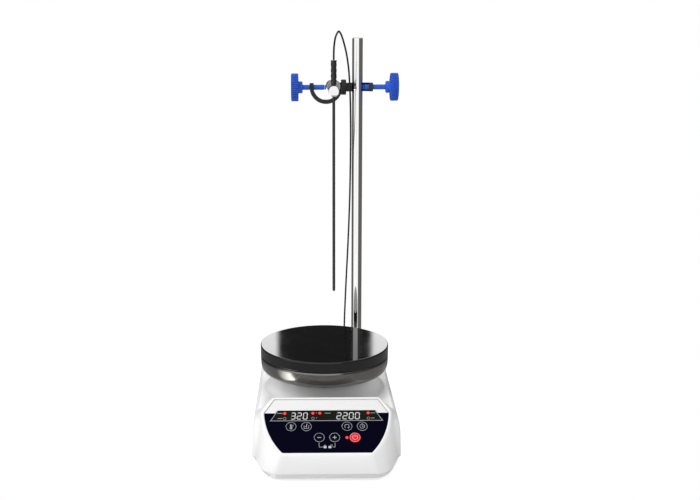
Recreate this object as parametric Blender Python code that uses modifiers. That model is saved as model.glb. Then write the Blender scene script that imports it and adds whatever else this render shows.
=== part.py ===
# Hotplate magnetic stirrer with support rod, double boss head and temperature probe.
# Blender 4.5, built in metres, +Z up. Sizes below are in mm, heights above the bench.
# Frame: origin at the centre of the work plate's top face, +Z up along the drive axis,
# the control panel faces -Y, +X is to the operator's right.
import math

import bmesh
import bpy
from mathutils import Matrix, Vector

MM = 0.001

# ---------------------------------------------------------------- driving dimensions
PLATE_TOP = 95.0  # work surface
PLATE_R, PLATE_T = 69.5, 11.2
RING_TOP, RING_BOTTOM = 83.4, 66.8
COLLAR_R, COLLAR_TOP = 59.3, 70.0
DECK = 46.0  # top of the rear deck
SEAM = 9.3  # lower edge of the upper housing
WALL = 3.0
FRONT_Y, REAR_Y = -145.3, 117.0

PANEL_Y, PANEL_Z = -143.0, 30.0  # lower edge of the control panel
PANEL_TILT = math.radians(35.0)
LABEL_A, LABEL_B, LABEL_MID = 61.5, 68.6, 50.0  # label's side ellipse: half axes, centre
LABEL_BOTTOM, LABEL_CORNER, LABEL_TOP = 0.5, 45.0, 61.0  # distances up the slope
LABEL_TOP_X = 51.7  # half width along the top edge
RIM = 3.0  # plain border round the label
RECESS = 1.4  # depth of the label's seat
KEY_R = 5.3
KEYS = {  # across, up the slope
    "key_temperature": (-34.7, 29.4),
    "key_probe": (-19.8, 29.4),
    "key_speed": (19.8, 29.4),
    "key_timer": (34.7, 29.4),
    "key_minus": (-7.4, 17.0),
    "key_plus": (7.5, 17.0),
    "key_start_stop": (27.2, 17.0),
}

FIT = 0.3  # gap between mating pieces
ROD_X, ROD_Y, ROD_R = 40.0, 97.0, 6.0
ROD_BOTTOM, ROD_TOP = 27.5, 423.0
ROD_SOCKET_R = 8.0
CLAMP_Z = 368.0  # the clamp screws' common axis
HOOK_T, HOOK_W = 4.6, 9.8  # hook band, across and along
ARM_HOOK_X, ARM_HOOK_R = 4.3, 16.4
ROD_HOOK_X, ROD_HOOK_R = 42.5, 12.8
DISC_X0, DISC_X1, DISC_R = 21.5, 27.1, 8.6
PIN_X0, PIN_X1, PIN_R = 17.2, 31.0, 2.5  # pin through the swivel disc
SCREW_R, HUB_R, WHEEL_R = 2.85, 6.7, 15.65  # thumb screws
ARM_X, ARM_Z, ARM_R = 10.4, 370.0, 6.0
ARM_BACK = 110.0
PROBE_R, PROBE_TOP, PROBE_TIP = 1.5, 371.0, 153.0
GRIP_BOTTOM, GRIP_TOP = 371.3, 397.3
LOCK_Z = 365.8

INLET_X0, INLET_X1, INLET_Z0, INLET_Z1 = -40.0, 4.0, 14.0, 42.0
ROCKER_X, ROCKER_Y, ROCKER_Z = -4.0, 112.0, 28.0
SOCKET_X, SOCKET_Z = 28.0, 29.0
CABLE_R = 1.0

FEET = {"fl": (-50, -118), "fr": (50, -118), "rl": (-52, 97), "rr": (52, 88)}
BOSSES = {"fl": (-61, -98), "fr": (61, -98), "rl": (-63, 84), "rr": (63, 74)}
BOSS_R, BOSS_BOTTOM = 4.5, 7.4

# ---------------------------------------------------------------- scene and materials
for old in list(bpy.data.objects):
    bpy.data.objects.remove(old, do_unlink=True)

parts = bpy.data.collections.new("magnetic_stirrer")
cutters = bpy.data.collections.new("cutters")
for collection in (parts, cutters):
    bpy.context.scene.collection.children.link(collection)

LOOKS = {  # base colour, roughness, metallic
    "white": ((0.86, 0.86, 0.86), 0.30, 0.0),
    "black_plate": ((0.012, 0.012, 0.013), 0.10, 0.0),
    "steel": ((0.55, 0.54, 0.52), 0.18, 1.0),
    "chrome": ((0.80, 0.80, 0.80), 0.06, 1.0),
    "black": ((0.015, 0.015, 0.016), 0.35, 0.0),
    "blue": ((0.025, 0.10, 0.58), 0.40, 0.0),
    "navy": ((0.002, 0.002, 0.012), 0.35, 0.0),
    "red": ((0.80, 0.02, 0.03), 0.35, 0.0),
    "rubber": ((0.02, 0.02, 0.02), 0.80, 0.0),
    "smoke": ((0.010, 0.009, 0.006), 0.12, 0.0),
    "green_board": ((0.01, 0.10, 0.04), 0.45, 0.0),
    "magnet": ((0.30, 0.30, 0.31), 0.30, 1.0),
    "alu": ((0.60, 0.61, 0.62), 0.35, 1.0),
    "wool": ((0.70, 0.66, 0.58), 0.90, 0.0),
    "zinc": ((0.50, 0.50, 0.52), 0.30, 1.0),
}


def material(name, look):
    colour, roughness, metallic = LOOKS[look]
    mat = bpy.data.materials.new(name)
    mat.use_nodes = True
    inputs = mat.node_tree.nodes["Principled BSDF"].inputs
    inputs["Base Color"].default_value = (*colour, 1.0)
    inputs["Roughness"].default_value = roughness
    inputs["Metallic"].default_value = metallic
    mat.diffuse_color = (*colour, 1.0)
    return mat


# ---------------------------------------------------------------- object helpers
ORIGIN = (0, 0, 0)  # bench level on the drive axis
ALONG_Z = (0, 0, 0)
ALONG_X = (0, math.pi / 2, 0)
ALONG_Y = (-math.pi / 2, 0, 0)


def at(point):
    """A point in mm above the bench, in the part's own frame."""
    x, y, z = point
    return Vector((x, y, z - PLATE_TOP)) * MM


def finish(obj, look):
    """Link an object with its own material, or as a hidden cutter when look is None."""
    if look is None:
        cutters.objects.link(obj)
        obj.hide_render = True
        obj.display_type = "WIRE"
    else:
        parts.objects.link(obj)
        obj.data.materials.append(material(obj.name, look))
    return obj


def mesh_object(name, bm, origin, rot):
    mesh = bpy.data.meshes.new(name)
    bm.to_mesh(mesh)
    bm.free()
    obj = bpy.data.objects.new(name, mesh)
    obj.location = at(origin)
    obj.rotation_euler = rot
    return obj


def build(name, solids, look=None, origin=ORIGIN, rot=ALONG_Z, smooth=True):
    """An object from solids, each a function that adds itself in mm to a bmesh."""
    bm = bmesh.new()
    for add in solids:
        add(bm)
    bmesh.ops.scale(bm, vec=(MM, MM, MM), verts=bm.verts)
    bmesh.ops.recalc_face_normals(bm, faces=bm.faces)
    obj = mesh_object(name, bm, origin, rot)
    if smooth:
        obj.data.shade_smooth()
        obj.data.set_sharp_from_angle(angle=math.radians(35))
    return finish(obj, look)


def lathe(name, profile, look, origin, steps, rot=ALONG_Z):
    """A turned piece from (radius, height) points; one that starts off the axis is closed."""
    bm = bmesh.new()
    verts = [bm.verts.new((r * MM, 0, h * MM)) for r, h in profile]
    for pair in zip(verts, verts[1:]):
        bm.edges.new(pair)
    if profile[0][0] > 0:
        bm.edges.new((verts[-1], verts[0]))
    obj = mesh_object(name, bm, origin, rot)
    turn = obj.modifiers.new("turn", "SCREW")
    turn.axis = "Z"
    turn.angle = 2 * math.pi
    turn.steps = turn.render_steps = steps
    turn.use_merge_vertices = True
    turn.merge_threshold = 0.00001
    turn.use_smooth_shade = True
    return finish(obj, look)


def boolean(target, tool, operation="DIFFERENCE"):
    mod = target.modifiers.new(tool.name, "BOOLEAN")
    mod.operation = operation
    mod.solver = "EXACT"
    mod.object = tool


def cut(target, name, solids, **place):
    boolean(target, build(name, solids, **place))


def join(target, name, solids, **place):
    boolean(target, build(name, solids, **place), "UNION")


# ---------------------------------------------------------------- solids
# Frames for prisms: an outline drawn in (x, z) and extruded towards -Y,
# and one drawn in (y, z) and extruded towards +X.
XZ_FRAME = Matrix.Rotation(math.pi / 2, 4, "X")
YZ_FRAME = Matrix(((0, 0, 1, 0), (1, 0, 0, 0), (0, 1, 0, 0), (0, 0, 0, 1)))


def cylinder(radius, low, high, x=0.0, y=0.0, axis="Z", seg=24, frame=Matrix()):
    """A cylinder from low to high along an axis; x, y are its other two coordinates."""
    middle = (low + high) / 2
    place = {
        "Z": Matrix.Translation((x, y, middle)),
        "X": Matrix.Translation((middle, x, y)) @ Matrix.Rotation(math.pi / 2, 4, "Y"),
        "Y": Matrix.Translation((x, middle, y)) @ Matrix.Rotation(-math.pi / 2, 4, "X"),
    }[axis]
    return lambda bm: bmesh.ops.create_cone(
        bm, cap_ends=True, segments=seg, radius1=radius, radius2=radius,
        depth=high - low, matrix=frame @ place)


def box(low, high):
    """A box between two corners."""
    size = [b - a for a, b in zip(low, high)]
    middle = [(a + b) / 2 for a, b in zip(low, high)]
    place = Matrix.Translation(middle) @ Matrix.Diagonal((*size, 1.0))
    return lambda bm: bmesh.ops.create_cube(bm, size=1.0, matrix=place)


def prism(outline, low, high, frame=Matrix()):
    """A flat outline extruded between two heights."""
    def add(bm):
        verts = [bm.verts.new((x, y, low)) for x, y in outline]
        out = bmesh.ops.extrude_face_region(bm, geom=[bm.faces.new(verts)])
        top = [v for v in out["geom"] if isinstance(v, bmesh.types.BMVert)]
        bmesh.ops.translate(bm, vec=(0, 0, high - low), verts=top)
        bmesh.ops.transform(bm, matrix=frame, verts=verts + top)
    return add


def three_round(radius, first):
    """Three points evenly spaced round the drive axis, the first at an angle in degrees."""
    angles = [math.radians(first + 120 * k) for k in range(3)]
    return [(radius * math.cos(a), radius * math.sin(a)) for a in angles]


# ---------------------------------------------------------------- shared outlines
PANEL_ORIGIN = (0, PANEL_Y, PANEL_Z)
PANEL_ROT = (PANEL_TILT, 0, 0)
PANEL_FRAME = Matrix.Translation(PANEL_ORIGIN) @ Matrix.Rotation(PANEL_TILT, 4, "X")
ON_PANEL = {"origin": PANEL_ORIGIN, "rot": PANEL_ROT}


def on_panel(x, up, off=0.0):
    """(across, up the slope, off the face) to mm in the bench frame."""
    sin, cos = math.sin(PANEL_TILT), math.cos(PANEL_TILT)
    return (x, PANEL_Y + up * cos - off * sin, PANEL_Z + up * sin + off * cos)


def label_half_width(up, grow):
    ratio = (LABEL_MID - up) / (LABEL_B + grow)
    return (LABEL_A + grow) * math.sqrt(max(0.0, 1.0 - ratio * ratio))


def label_half(grow, side_points=9):
    """Right half of the label's outline, bottom to top, grown outwards.

    The factors on grow approximate an even offset at each corner."""
    bottom, corner = LABEL_BOTTOM - grow * 0.85, LABEL_CORNER + 0.4 * grow
    # the power crowds the points towards the bottom
    ups = [bottom + (corner - bottom) * (k / side_points) ** 1.15
           for k in range(side_points + 1)]
    side = [(label_half_width(up, grow), up) for up in ups]
    return side + [(LABEL_TOP_X + 0.45 * grow, LABEL_TOP + grow)]


def mirrored(half):
    """A closed outline from its right half."""
    return half + [(-x, y) for x, y in reversed(half)]


def window_outline(grow=0.0):
    """The display window, across and up the slope, wider at its lower edge."""
    low_x, low = 56.2 + grow * 1.6, 35.6 - grow
    high_x, high = 48.3 + grow, 47.9 + grow
    return [(-low_x, low), (low_x, low), (high_x, high), (-high_x, high)]


# Right half of the plan outline at the seam, front to rear: x, y
BASE_HALF = [
    (48.8, FRONT_Y), (54.6, -142.8), (59.2, -138.8), (62.9, -133.5), (65.9, -127.2),
    (68.5, -119.2), (70.2, -110.8), (71.3, -102.0), (72.2, -91.0), (72.8, -78.0),
    (73.0, -64.0), (73.2, -50.0), (73.2, 80.0), (72.2, 92.0), (68.5, 103.0),
    (61.0, 111.8), (50.5, 116.2), (41.0, REAR_Y),
]
# Right shoulder behind the panel, front to rear:
# x, y, z, then the x and y shift per mm of inset
SHOULDER = [
    (67.8, -96.0, 53.0, -1, 0.3),
    (70.2, -84.0, 49.2, -1, 0.3),
    (71.2, -70.0, 46.9, -1, 0),
    (71.5, -50.0, DECK, -1, 0),
    (71.5, 80.0, DECK, -1, 0),
    (70.6, 92.0, DECK, -1, -0.3),
    (67.1, 102.4, DECK, -0.85, -0.6),
    (60.0, 110.8, DECK, -0.6, -0.85),
    (50.0, 115.6, DECK, -0.3, -1),
    (41.0, REAR_Y, DECK, 0, -1),
]
# Foot of the ridge's rear flank on the deck, outermost first: x, y, y shift per mm of inset
VALLEY = [(68.5, -62.0, 0), (60.0, -70.0, 0), (49.0, -77.0, 0.6)]


def base_half(inset):
    """The plan outline's right half, moved inwards square to its neighbours' chord."""
    before = [(0.0, FRONT_Y)] + BASE_HALF[:-1]
    after = BASE_HALF[1:] + [(0.0, REAR_Y)]
    out = []
    for (ax, ay), (x, y), (bx, by) in zip(before, BASE_HALF, after):
        nx, ny = by - ay, ax - bx
        length = math.hypot(nx, ny)
        out.append((x - inset * nx / length, y - inset * ny / length))
    out[0] = (out[0][0], FRONT_Y + inset)
    out[-1] = (out[-1][0], REAR_Y - inset)
    return out


def housing_cage(inset, bottom):
    """The housing's plain body: a loft from the plan outline to the shoulder line, closed
    by the sloping panel, the ridge behind it and the deck."""
    *panel_side, ridge_point = label_half(RIM - inset, side_points=7)
    shoulder = [on_panel(x, up, -inset) for x, up in panel_side]
    shoulder += [(x + dx * inset, y + dy * inset, z - inset) for x, y, z, dx, dy in SHOULDER]
    valley_line = [(x - inset, y + dy * inset, DECK - inset) for x, y, dy in VALLEY]
    corner = len(panel_side) - 1  # the panel's upper side corner

    def add(bm):
        def both_sides(points):
            right = [bm.verts.new(p) for p in points]
            left = [bm.verts.new((-x, y, z)) for x, y, z in points]
            return right, left

        def face(verts, flip=False):
            bm.faces.new(list(reversed(verts)) if flip else verts)

        base_r, base_l = both_sides([(x, y, bottom) for x, y in base_half(inset)])
        top_r, top_l = both_sides(shoulder)
        (ridge_r,), (ridge_l,) = both_sides([on_panel(*ridge_point, -inset)])
        valley_r, valley_l = both_sides(valley_line)
        # side walls, front, rear and bottom
        for low, high, flip in ((base_r, top_r, False), (base_l, top_l, True)):
            for i in range(len(low) - 1):
                face([low[i], low[i + 1], high[i + 1], high[i]], flip)
        face([base_l[0], base_r[0], top_r[0], top_l[0]])
        face([base_r[-1], base_l[-1], top_l[-1], top_r[-1]])
        face(base_r[::-1] + base_l)
        # panel
        face(top_r[:corner + 1] + [ridge_r, ridge_l] + top_l[corner::-1])
        # flanks from the ridge down to the deck
        for top, ridge, valley, flip in ((top_r, ridge_r, valley_r, False),
                                         (top_l, ridge_l, valley_l, True)):
            t0, t1, t2, t3, t4 = top[corner:corner + 5]
            v0, v1, v2 = valley
            for verts in ([t0, t1, ridge], [t1, t2, ridge], [t2, v1, ridge],
                          [v1, v2, ridge], [t2, t3, v1], [t3, v0, v1], [t3, t4, v0]):
                face(verts, flip)
        face([ridge_r, valley_r[2], valley_l[2], ridge_l])
        deck_r, deck_l = top_r[corner + 4:], top_l[corner + 4:]
        face(deck_r + deck_l[::-1] + valley_l + valley_r[::-1])
    return add


SKIRT_X = 71.3  # inner side of the wing's skirt, which hangs beside the base cover
WING_PROFILE = [  # x, z
    (SKIRT_X, 5.0), (75.3, 5.0), (75.2, 18.0), (74.7, 30.7), (73.7, 39.3), (72.4, 44.6),
    (70.4, 45.7), (66.0, 45.2), (66.0, 12.0), (SKIRT_X, 9.6),
]
WING_STATIONS = [  # y, widest x allowed, inner side of the skirt
    (-101.5, 71.1, 69.7), (-96.5, 99.0, SKIRT_X), (92.0, 99.0, SKIRT_X), (99.0, 70.4, 69.2),
]


def wing(side):
    """Thickened flank along one side, drawn in at both ends. side is +1 right, -1 left."""
    def add(bm):
        rows = [[bm.verts.new((side * (skirt if x == SKIRT_X else min(x, widest)), y, z))
                 for x, z in WING_PROFILE] for y, widest, skirt in WING_STATIONS]
        count = len(WING_PROFILE)
        for a, b in zip(rows, rows[1:]):
            for i in range(count):
                j = (i + 1) % count
                bm.faces.new([a[i], a[j], b[j], b[i]])
        bm.faces.new(rows[0])
        bm.faces.new(rows[-1][::-1])
    return add


# ---------------------------------------------------------------- upper housing
housing = build("upper_housing", [housing_cage(0.0, SEAM)], "white")

# round collar under the plate, flaring into the deck
collar = [(0, COLLAR_TOP), (COLLAR_R - 0.5, COLLAR_TOP), (COLLAR_R, 69.4), (COLLAR_R, 54.0),
          (60.1, 50.5), (62.4, 47.9), (65.4, 46.6), (67.5, 45.4), (67.5, 42.0), (0, 42.0)]
boolean(housing, lathe("collar_add", collar, None, ORIGIN, steps=48), "UNION")
for side, tag in ((1, "right"), (-1, "left")):
    join(housing, "wing_add_" + tag, [wing(side)])

cut(housing, "cavity_cut", [housing_cage(WALL, 1.0)])
cut(housing, "collar_cut", [cylinder(COLLAR_R - WALL, 30.0, COLLAR_TOP - WALL, seg=48)])

# screw bosses and the posts that carry the display board
BOARD_POSTS = [(-46, 22), (46, 22), (-47, 50.5), (47, 50.5)]  # across, up the slope
join(housing, "boss_add",
     [cylinder(BOSS_R, BOSS_BOTTOM, 45.0 if y > 0 else 50.0, x, y, seg=16)
      for x, y in BOSSES.values()]
     + [cylinder(2.2, -8.1, -1.9, x, up, seg=12, frame=PANEL_FRAME) for x, up in BOARD_POSTS])

cut(housing, "label_cut", [prism(mirrored(label_half(0.3)), -RECESS, 3.0, PANEL_FRAME)])

INLET_LIP = 1.7  # from the inlet flange's edge in to the housing's opening
display_slot = [(-46, 36.6), (46, 36.6), (46, 46.6), (-46, 46.6)]
openings = [cylinder(KEY_R + 0.35, -5.0, 1.0, x, up, frame=PANEL_FRAME)
            for x, up in KEYS.values()]
openings.append(prism(display_slot, -5.0, 1.0, PANEL_FRAME))
openings += [cylinder(1.8, 5.0, 26.0, x, y, seg=8) for x, y in BOSSES.values()]
openings += [
    cylinder(38.0, 60.0, 75.0, seg=48),  # centre of the collar
    cylinder(ROD_SOCKET_R + 0.4, 40.0, 50.0, ROD_X, ROD_Y),
    cylinder(6.35, 110.0, 121.0, SOCKET_X, SOCKET_Z, axis="Y"),
    box((INLET_X0 + INLET_LIP, 110, INLET_Z0 + INLET_LIP),
        (INLET_X1 - INLET_LIP, 121, INLET_Z1 - INLET_LIP)),
]
openings += [cylinder(1.6, 64.0, 75.0, x, y, seg=10) for x, y in three_round(47.5, 90)]
cut(housing, "openings_cut", openings)


# ---------------------------------------------------------------- base cover, feet, screws
def base_slab(bm):
    """The base cover's plate, with its lower edge drawn in."""
    prism(mirrored(base_half(2.4)), 3.0, 9.0)(bm)
    for v in bm.verts:
        if v.co.z < 3.5:
            v.co.x *= 0.965
            v.co.y = (v.co.y + 14.0) * 0.975 - 14.0  # scaled about y = -14, mid length


def at_bosses(radius, low, high, seg):
    return [cylinder(radius, low, high, x, y, seg=seg) for x, y in BOSSES.values()]


BASE_POSTS = [(-47, 52), (47, 52), (-47, 88), (34, 88)]  # under the main board
base = build("base_cover", [base_slab], "white")
cut(base, "base_pocket_cut", [prism(mirrored(base_half(8.0)), 7.0, 12.0)])
cut(base, "base_boss_seat_cut", at_bosses(BOSS_R + 0.4, BOSS_BOTTOM - FIT, 13.0, 16))
join(base, "base_posts_add", [cylinder(3.0, 5.0, 13.7, x, y, seg=12) for x, y in BASE_POSTS])
cut(base, "base_holes_cut",  # screw holes, foot holes and six slots across the front
    at_bosses(1.9, 1.0, 12.0, 12)
    + [cylinder(3.1, 1.0, 12.0, x, y, seg=12) for x, y in FEET.values()]
    + [box((-28, -112 + 7 * k, 0), (28, -109 + 7 * k, 12)) for k in range(6)])
cut(base, "base_counterbore_cut", at_bosses(4.0, 1.0, 5.6, 16))

foot = [(0, 6.2), (2.7, 6.2), (2.7, 2.7), (7.0, 2.7), (7.5, 2.2), (7.0, 0), (0, 0)]
for tag, (x, y) in FEET.items():
    lathe("foot_" + tag, foot, "rubber", (x, y, 0), steps=16)
base_screw = [(0, 20), (1.1, 19.4), (1.5, 18.0), (1.5, 5.3), (3.5, 5.3), (3.5, 4.0),
              (2.6, 3.3), (0, 3.3)]
for tag, (x, y) in BOSSES.items():
    lathe("base_screw_" + tag, base_screw, "zinc", (x, y, 0), steps=10)

# ---------------------------------------------------------------- control panel
overlay = build("panel_overlay", [prism(mirrored(label_half(0.0, 14)), -1.1, -0.3)],
                "navy", smooth=False, **ON_PANEL)
cut(overlay, "overlay_cut",
    [cylinder(KEY_R + 0.3, -3.0, 3.0, x, up, seg=28) for x, up in KEYS.values()]
    + [prism(window_outline(0.3), -3.0, 3.0)], **ON_PANEL)

build("display_window", [prism(window_outline(), -1.1, -0.2)], "smoke", smooth=False,
      **ON_PANEL)
for name, x0, x1 in (("temperature", -38.0, -16.0), ("speed", 7.0, 35.5)):
    build("led_digits_" + name, [box((x0, 37.0, -7.9), (x1, 46.2, -1.6))], "smoke",
          smooth=False, **ON_PANEL)

board_outline = [(-43, 9), (43, 9), (51, 20), (51, 53), (-51, 53), (-51, 20)]
build("display_board", [prism(board_outline, -10.2, -8.6)], "green_board", smooth=False,
      **ON_PANEL)

KEY_FLANGE_R = KEY_R + 0.8
key = [(0, 0.1), (KEY_R - 0.4, 0.1), (KEY_R, -0.3), (KEY_R, -4.3), (KEY_FLANGE_R, -4.3),
       (KEY_FLANGE_R, -5.5), (0, -5.5)]
for name, (x, up) in KEYS.items():
    look = "red" if name == "key_start_stop" else "navy"
    lathe(name, key, look, on_panel(x, up), steps=18, rot=PANEL_ROT)

# ---------------------------------------------------------------- electronics
BOARD_BOTTOM, BOARD_TOP = 14.0, 15.6
ON_BOARD = BOARD_TOP + FIT  # underside of the pieces above the board
board = build("main_board", [box((-51, 47, BOARD_BOTTOM), (51, 93, BOARD_TOP))],
              "green_board", smooth=False)
cut(board, "board_notch_cut", [cylinder(12.0, 10.0, 20.0, 55.0, 97.0, seg=20)])

transformer = build("power_transformer", [box((-46, 52, ON_BOARD), (-12, 86, 39.0))],
                    "black", smooth=False)
bevel = transformer.modifiers.new("edges", "BEVEL")
bevel.width = 1.5 * MM
bevel.segments = 1
bevel.limit_method = "ANGLE"

# five upright fins on a floor: x, z
fins = [(-14, 0), (14, 0),
        (14, 16), (11.5, 16), (11.5, 3), (8.5, 3),
        (8.5, 16), (6, 16), (6, 3), (1.3, 3),
        (1.3, 16), (-1.3, 16), (-1.3, 3), (-6, 3),
        (-6, 16), (-8.5, 16), (-8.5, 3), (-11.5, 3),
        (-11.5, 16), (-14, 16)]
build("heatsink", [prism(fins, -16.0, 16.0, XZ_FRAME)], "alu", (12, 68, ON_BOARD),
      smooth=False)

# ---------------------------------------------------------------- stirring drive
bracket = build("motor_bracket", [box((-36, -34, 18.0), (36, 34, 20.0))], "zinc",
                smooth=False)
join(bracket, "bracket_legs_add",
     [cylinder(4.0, 7.3, 19.0, x, y, seg=12) for x in (-31, 31) for y in (-29, 29)])

# the motor's through bore clears the shaft
motor = [(8.0, 56.0), (8.0, 52.0), (27.0, 52.0), (29.0, 50.0), (29.0, 22.3), (27.0, 20.3),
         (2.0, 20.3), (2.0, 22.0), (2.85, 22.0), (2.85, 56.0)]
lathe("stirrer_motor", motor, "zinc", ORIGIN, steps=22)
lathe("motor_shaft", [(0, 64.8), (2.2, 64.8), (2.5, 64.4), (2.5, 24.0), (0, 24.0)],
      "steel", ORIGIN, steps=14)

CARRIER_TOP = 65.0
carrier = build("magnet_carrier", [box((-33, -10, 62.0), (33, 10, CARRIER_TOP))], "alu",
                smooth=False)
join(carrier, "carrier_hub_add", [cylinder(7.0, 57.0, 63.0)])
cut(carrier, "carrier_bore_cut", [cylinder(2.8, 55.0, 67.0, seg=20)])
magnet = [(0, 75.3), (7.4, 75.3), (8.0, 74.7), (8.0, CARRIER_TOP + FIT),
          (0, CARRIER_TOP + FIT)]
for tag, x in (("a", -24.0), ("b", 24.0)):
    lathe("drive_magnet_" + tag, magnet, "magnet", (x, 0, 0), steps=16)

# ---------------------------------------------------------------- hotplate
PLATE_BOTTOM = PLATE_TOP - PLATE_T
lathe("work_plate",
      [(0, PLATE_TOP), (PLATE_R - 1.2, PLATE_TOP), (PLATE_R - 0.35, PLATE_TOP - 0.35),
       (PLATE_R, PLATE_TOP - 1.2), (PLATE_R, PLATE_BOTTOM + 0.8),
       (PLATE_R - 0.8, PLATE_BOTTOM), (0, PLATE_BOTTOM)],
      "black_plate", ORIGIN, steps=56)
# bowed skirt with a flat flange turned in under the plate
lathe("steel_ring",
      [(67.2, RING_TOP), (69.0, 81.4), (69.5, 77.8), (69.0, 73.6), (67.6, 70.0),
       (64.9, RING_BOTTOM), (63.4, 67.4), (66.4, 71.8), (67.0, 76.5), (66.6, 80.0),
       (65.8, 81.7), (48.0, 81.7), (48.0, RING_TOP)],
      "steel", ORIGIN, steps=48)

HEATER_R = 46.5
SENSOR_Y = 40.0
sensor_bore = build("sensor_bore_cut", [cylinder(1.9, 60.0, 90.0, 0.0, SENSOR_Y, seg=12)])
for name, low, high, look in (("heating_element", 81.5, RING_TOP, "steel"),
                              ("insulation_disc", 77.2, 81.2, "wool")):
    boolean(build(name, [cylinder(HEATER_R, low, high, seg=32)], look), sensor_bore)
lathe("plate_sensor", [(0, 83.5), (1.5, 83.2), (1.5, 76.4), (0, 76.4)], "steel",
      (0, SENSOR_Y, 0), steps=12)
standoff = [(0, 81.4), (3.5, 81.4), (3.5, COLLAR_TOP + FIT), (0, COLLAR_TOP + FIT)]
for number, (x, y) in enumerate(three_round(54.0, 30), 1):
    lathe("plate_standoff_%d" % number, standoff, "steel", (x, y, 0), steps=6)

# ---------------------------------------------------------------- rear panel
FLANGE_Y = REAR_Y + FIT  # front of the flanges that stand against the rear wall
inlet = build("mains_inlet", [box((INLET_X0, FLANGE_Y, INLET_Z0), (INLET_X1, 119.8, INLET_Z1))],
              "black", smooth=False)
join(inlet, "inlet_body_add",
     [box((INLET_X0 + 2, 97, INLET_Z0 + 2), (INLET_X1 - 2, 118.5, INLET_Z1 - 2))])
inlet_socket = [(-36.6, 23.6), (-12.4, 23.6), (-12.4, 36.2), (-15.6, 39.4), (-33.4, 39.4),
                (-36.6, 36.2)]  # x, z
cut(inlet, "inlet_openings_cut", [
    prism(inlet_socket, -121.0, -103.0, XZ_FRAME),
    box((-34.0, 100, 16.8), (-14.0, 121, 21.4)),  # fuse drawer
    box((ROCKER_X - 5.1, 103, ROCKER_Z - 9.4), (ROCKER_X + 5.1, 121, ROCKER_Z + 9.4)),
])
# the three flat contacts stand on the socket's floor
join(inlet, "inlet_contacts_add",
     [box((x - 1.0, 101.5, z - 2.0), (x + 1.0, 115.0, z + 2.0))
      for x, z in ((-31.5, 29.2), (-17.5, 29.2), (-24.5, 33.4))])

build("fuse_drawer", [box((-33.6, 101, 17.2), (-14.4, 120.6, 21.0))], "black", smooth=False)

rocker = [(-3.0, -7.6), (7.4, -8.0), (6.0, 0.0), (7.4, 8.0), (-3.0, 7.6)]  # y, z
build("power_rocker", [prism(rocker, -4.7, 4.7, YZ_FRAME)], "black",
      (ROCKER_X, ROCKER_Y, ROCKER_Z), (math.radians(8), 0, 0), smooth=False)

SOCKET_ORIGIN = (SOCKET_X, 0, SOCKET_Z)
lathe("probe_socket",
      [(4.2, 119.3), (7.4, 119.3), (8.0, 118.7), (8.0, FLANGE_Y), (6.0, FLANGE_Y),
       (6.0, 105.0), (2.0, 105.0), (2.0, 109.5), (4.2, 109.5)],
      "black", SOCKET_ORIGIN, steps=16, rot=ALONG_Y)
lathe("probe_plug",
      [(0, 141), (1.9, 141), (2.6, 134), (5.0, 133), (5.2, 131.5), (5.2, 121), (4.8, 119.8),
       (3.8, 119.6), (3.8, 111), (0, 111)],
      "black", SOCKET_ORIGIN, steps=14, rot=ALONG_Y)

# ---------------------------------------------------------------- support rod
BORE_R = ROD_R + FIT
lathe("rod_socket",
      [(BORE_R, 50.0), (10.4, 50.0), (11.0, 49.4), (11.0, DECK + FIT),
       (ROD_SOCKET_R, DECK + FIT), (ROD_SOCKET_R, 24.0), (1.5, 24.0), (1.5, 27.0),
       (BORE_R, 27.0)],
      "zinc", (ROD_X, ROD_Y, 0), steps=20)
lathe("support_rod",
      [(0, ROD_TOP), (ROD_R - 1, ROD_TOP), (ROD_R, ROD_TOP - 1), (ROD_R, ROD_BOTTOM + 1),
       (ROD_R - 1, ROD_BOTTOM), (0, ROD_BOTTOM)],
      "chrome", (ROD_X, ROD_Y, 0), steps=28)


# ---------------------------------------------------------------- double boss head
def arc(radius, start, end, steps):
    """Points round an arc between two angles in degrees."""
    angles = [math.radians(start + (end - start) * k / steps) for k in range(steps + 1)]
    return [(radius * math.cos(a), radius * math.sin(a)) for a in angles]


SCREW_HOLE_R = SCREW_R + 0.25
PIN_HOLE_R = PIN_R + 0.3

# rod hook: a C in the horizontal plane, round the back of the rod
inner, outer = ROD_HOOK_R - HOOK_T / 2, ROD_HOOK_R + HOOK_T / 2
seat = ROD_X - BORE_R - ROD_HOOK_X
seat_angle = math.degrees(math.acos(seat / inner))
outline = [(-outer, -5.0)] + arc(outer, 180, 0, 16) + [(outer, -4.9), (inner, -4.9)]
outline += arc(inner, 0, seat_angle, 13) + [(seat, -5.0)]
place = (ROD_HOOK_X, ROD_Y, CLAMP_Z)
rod_hook = build("rod_hook", [prism(outline, -HOOK_W / 2, HOOK_W / 2)], "black", place)
cut(rod_hook, "rod_hook_cut",
    [cylinder(SCREW_HOLE_R, 5.0, 20.0, axis="X", seg=20),
     cylinder(PIN_HOLE_R, -20.0, PIN_X1 + 0.4 - ROD_HOOK_X, axis="X", seg=20)], origin=place)

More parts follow.
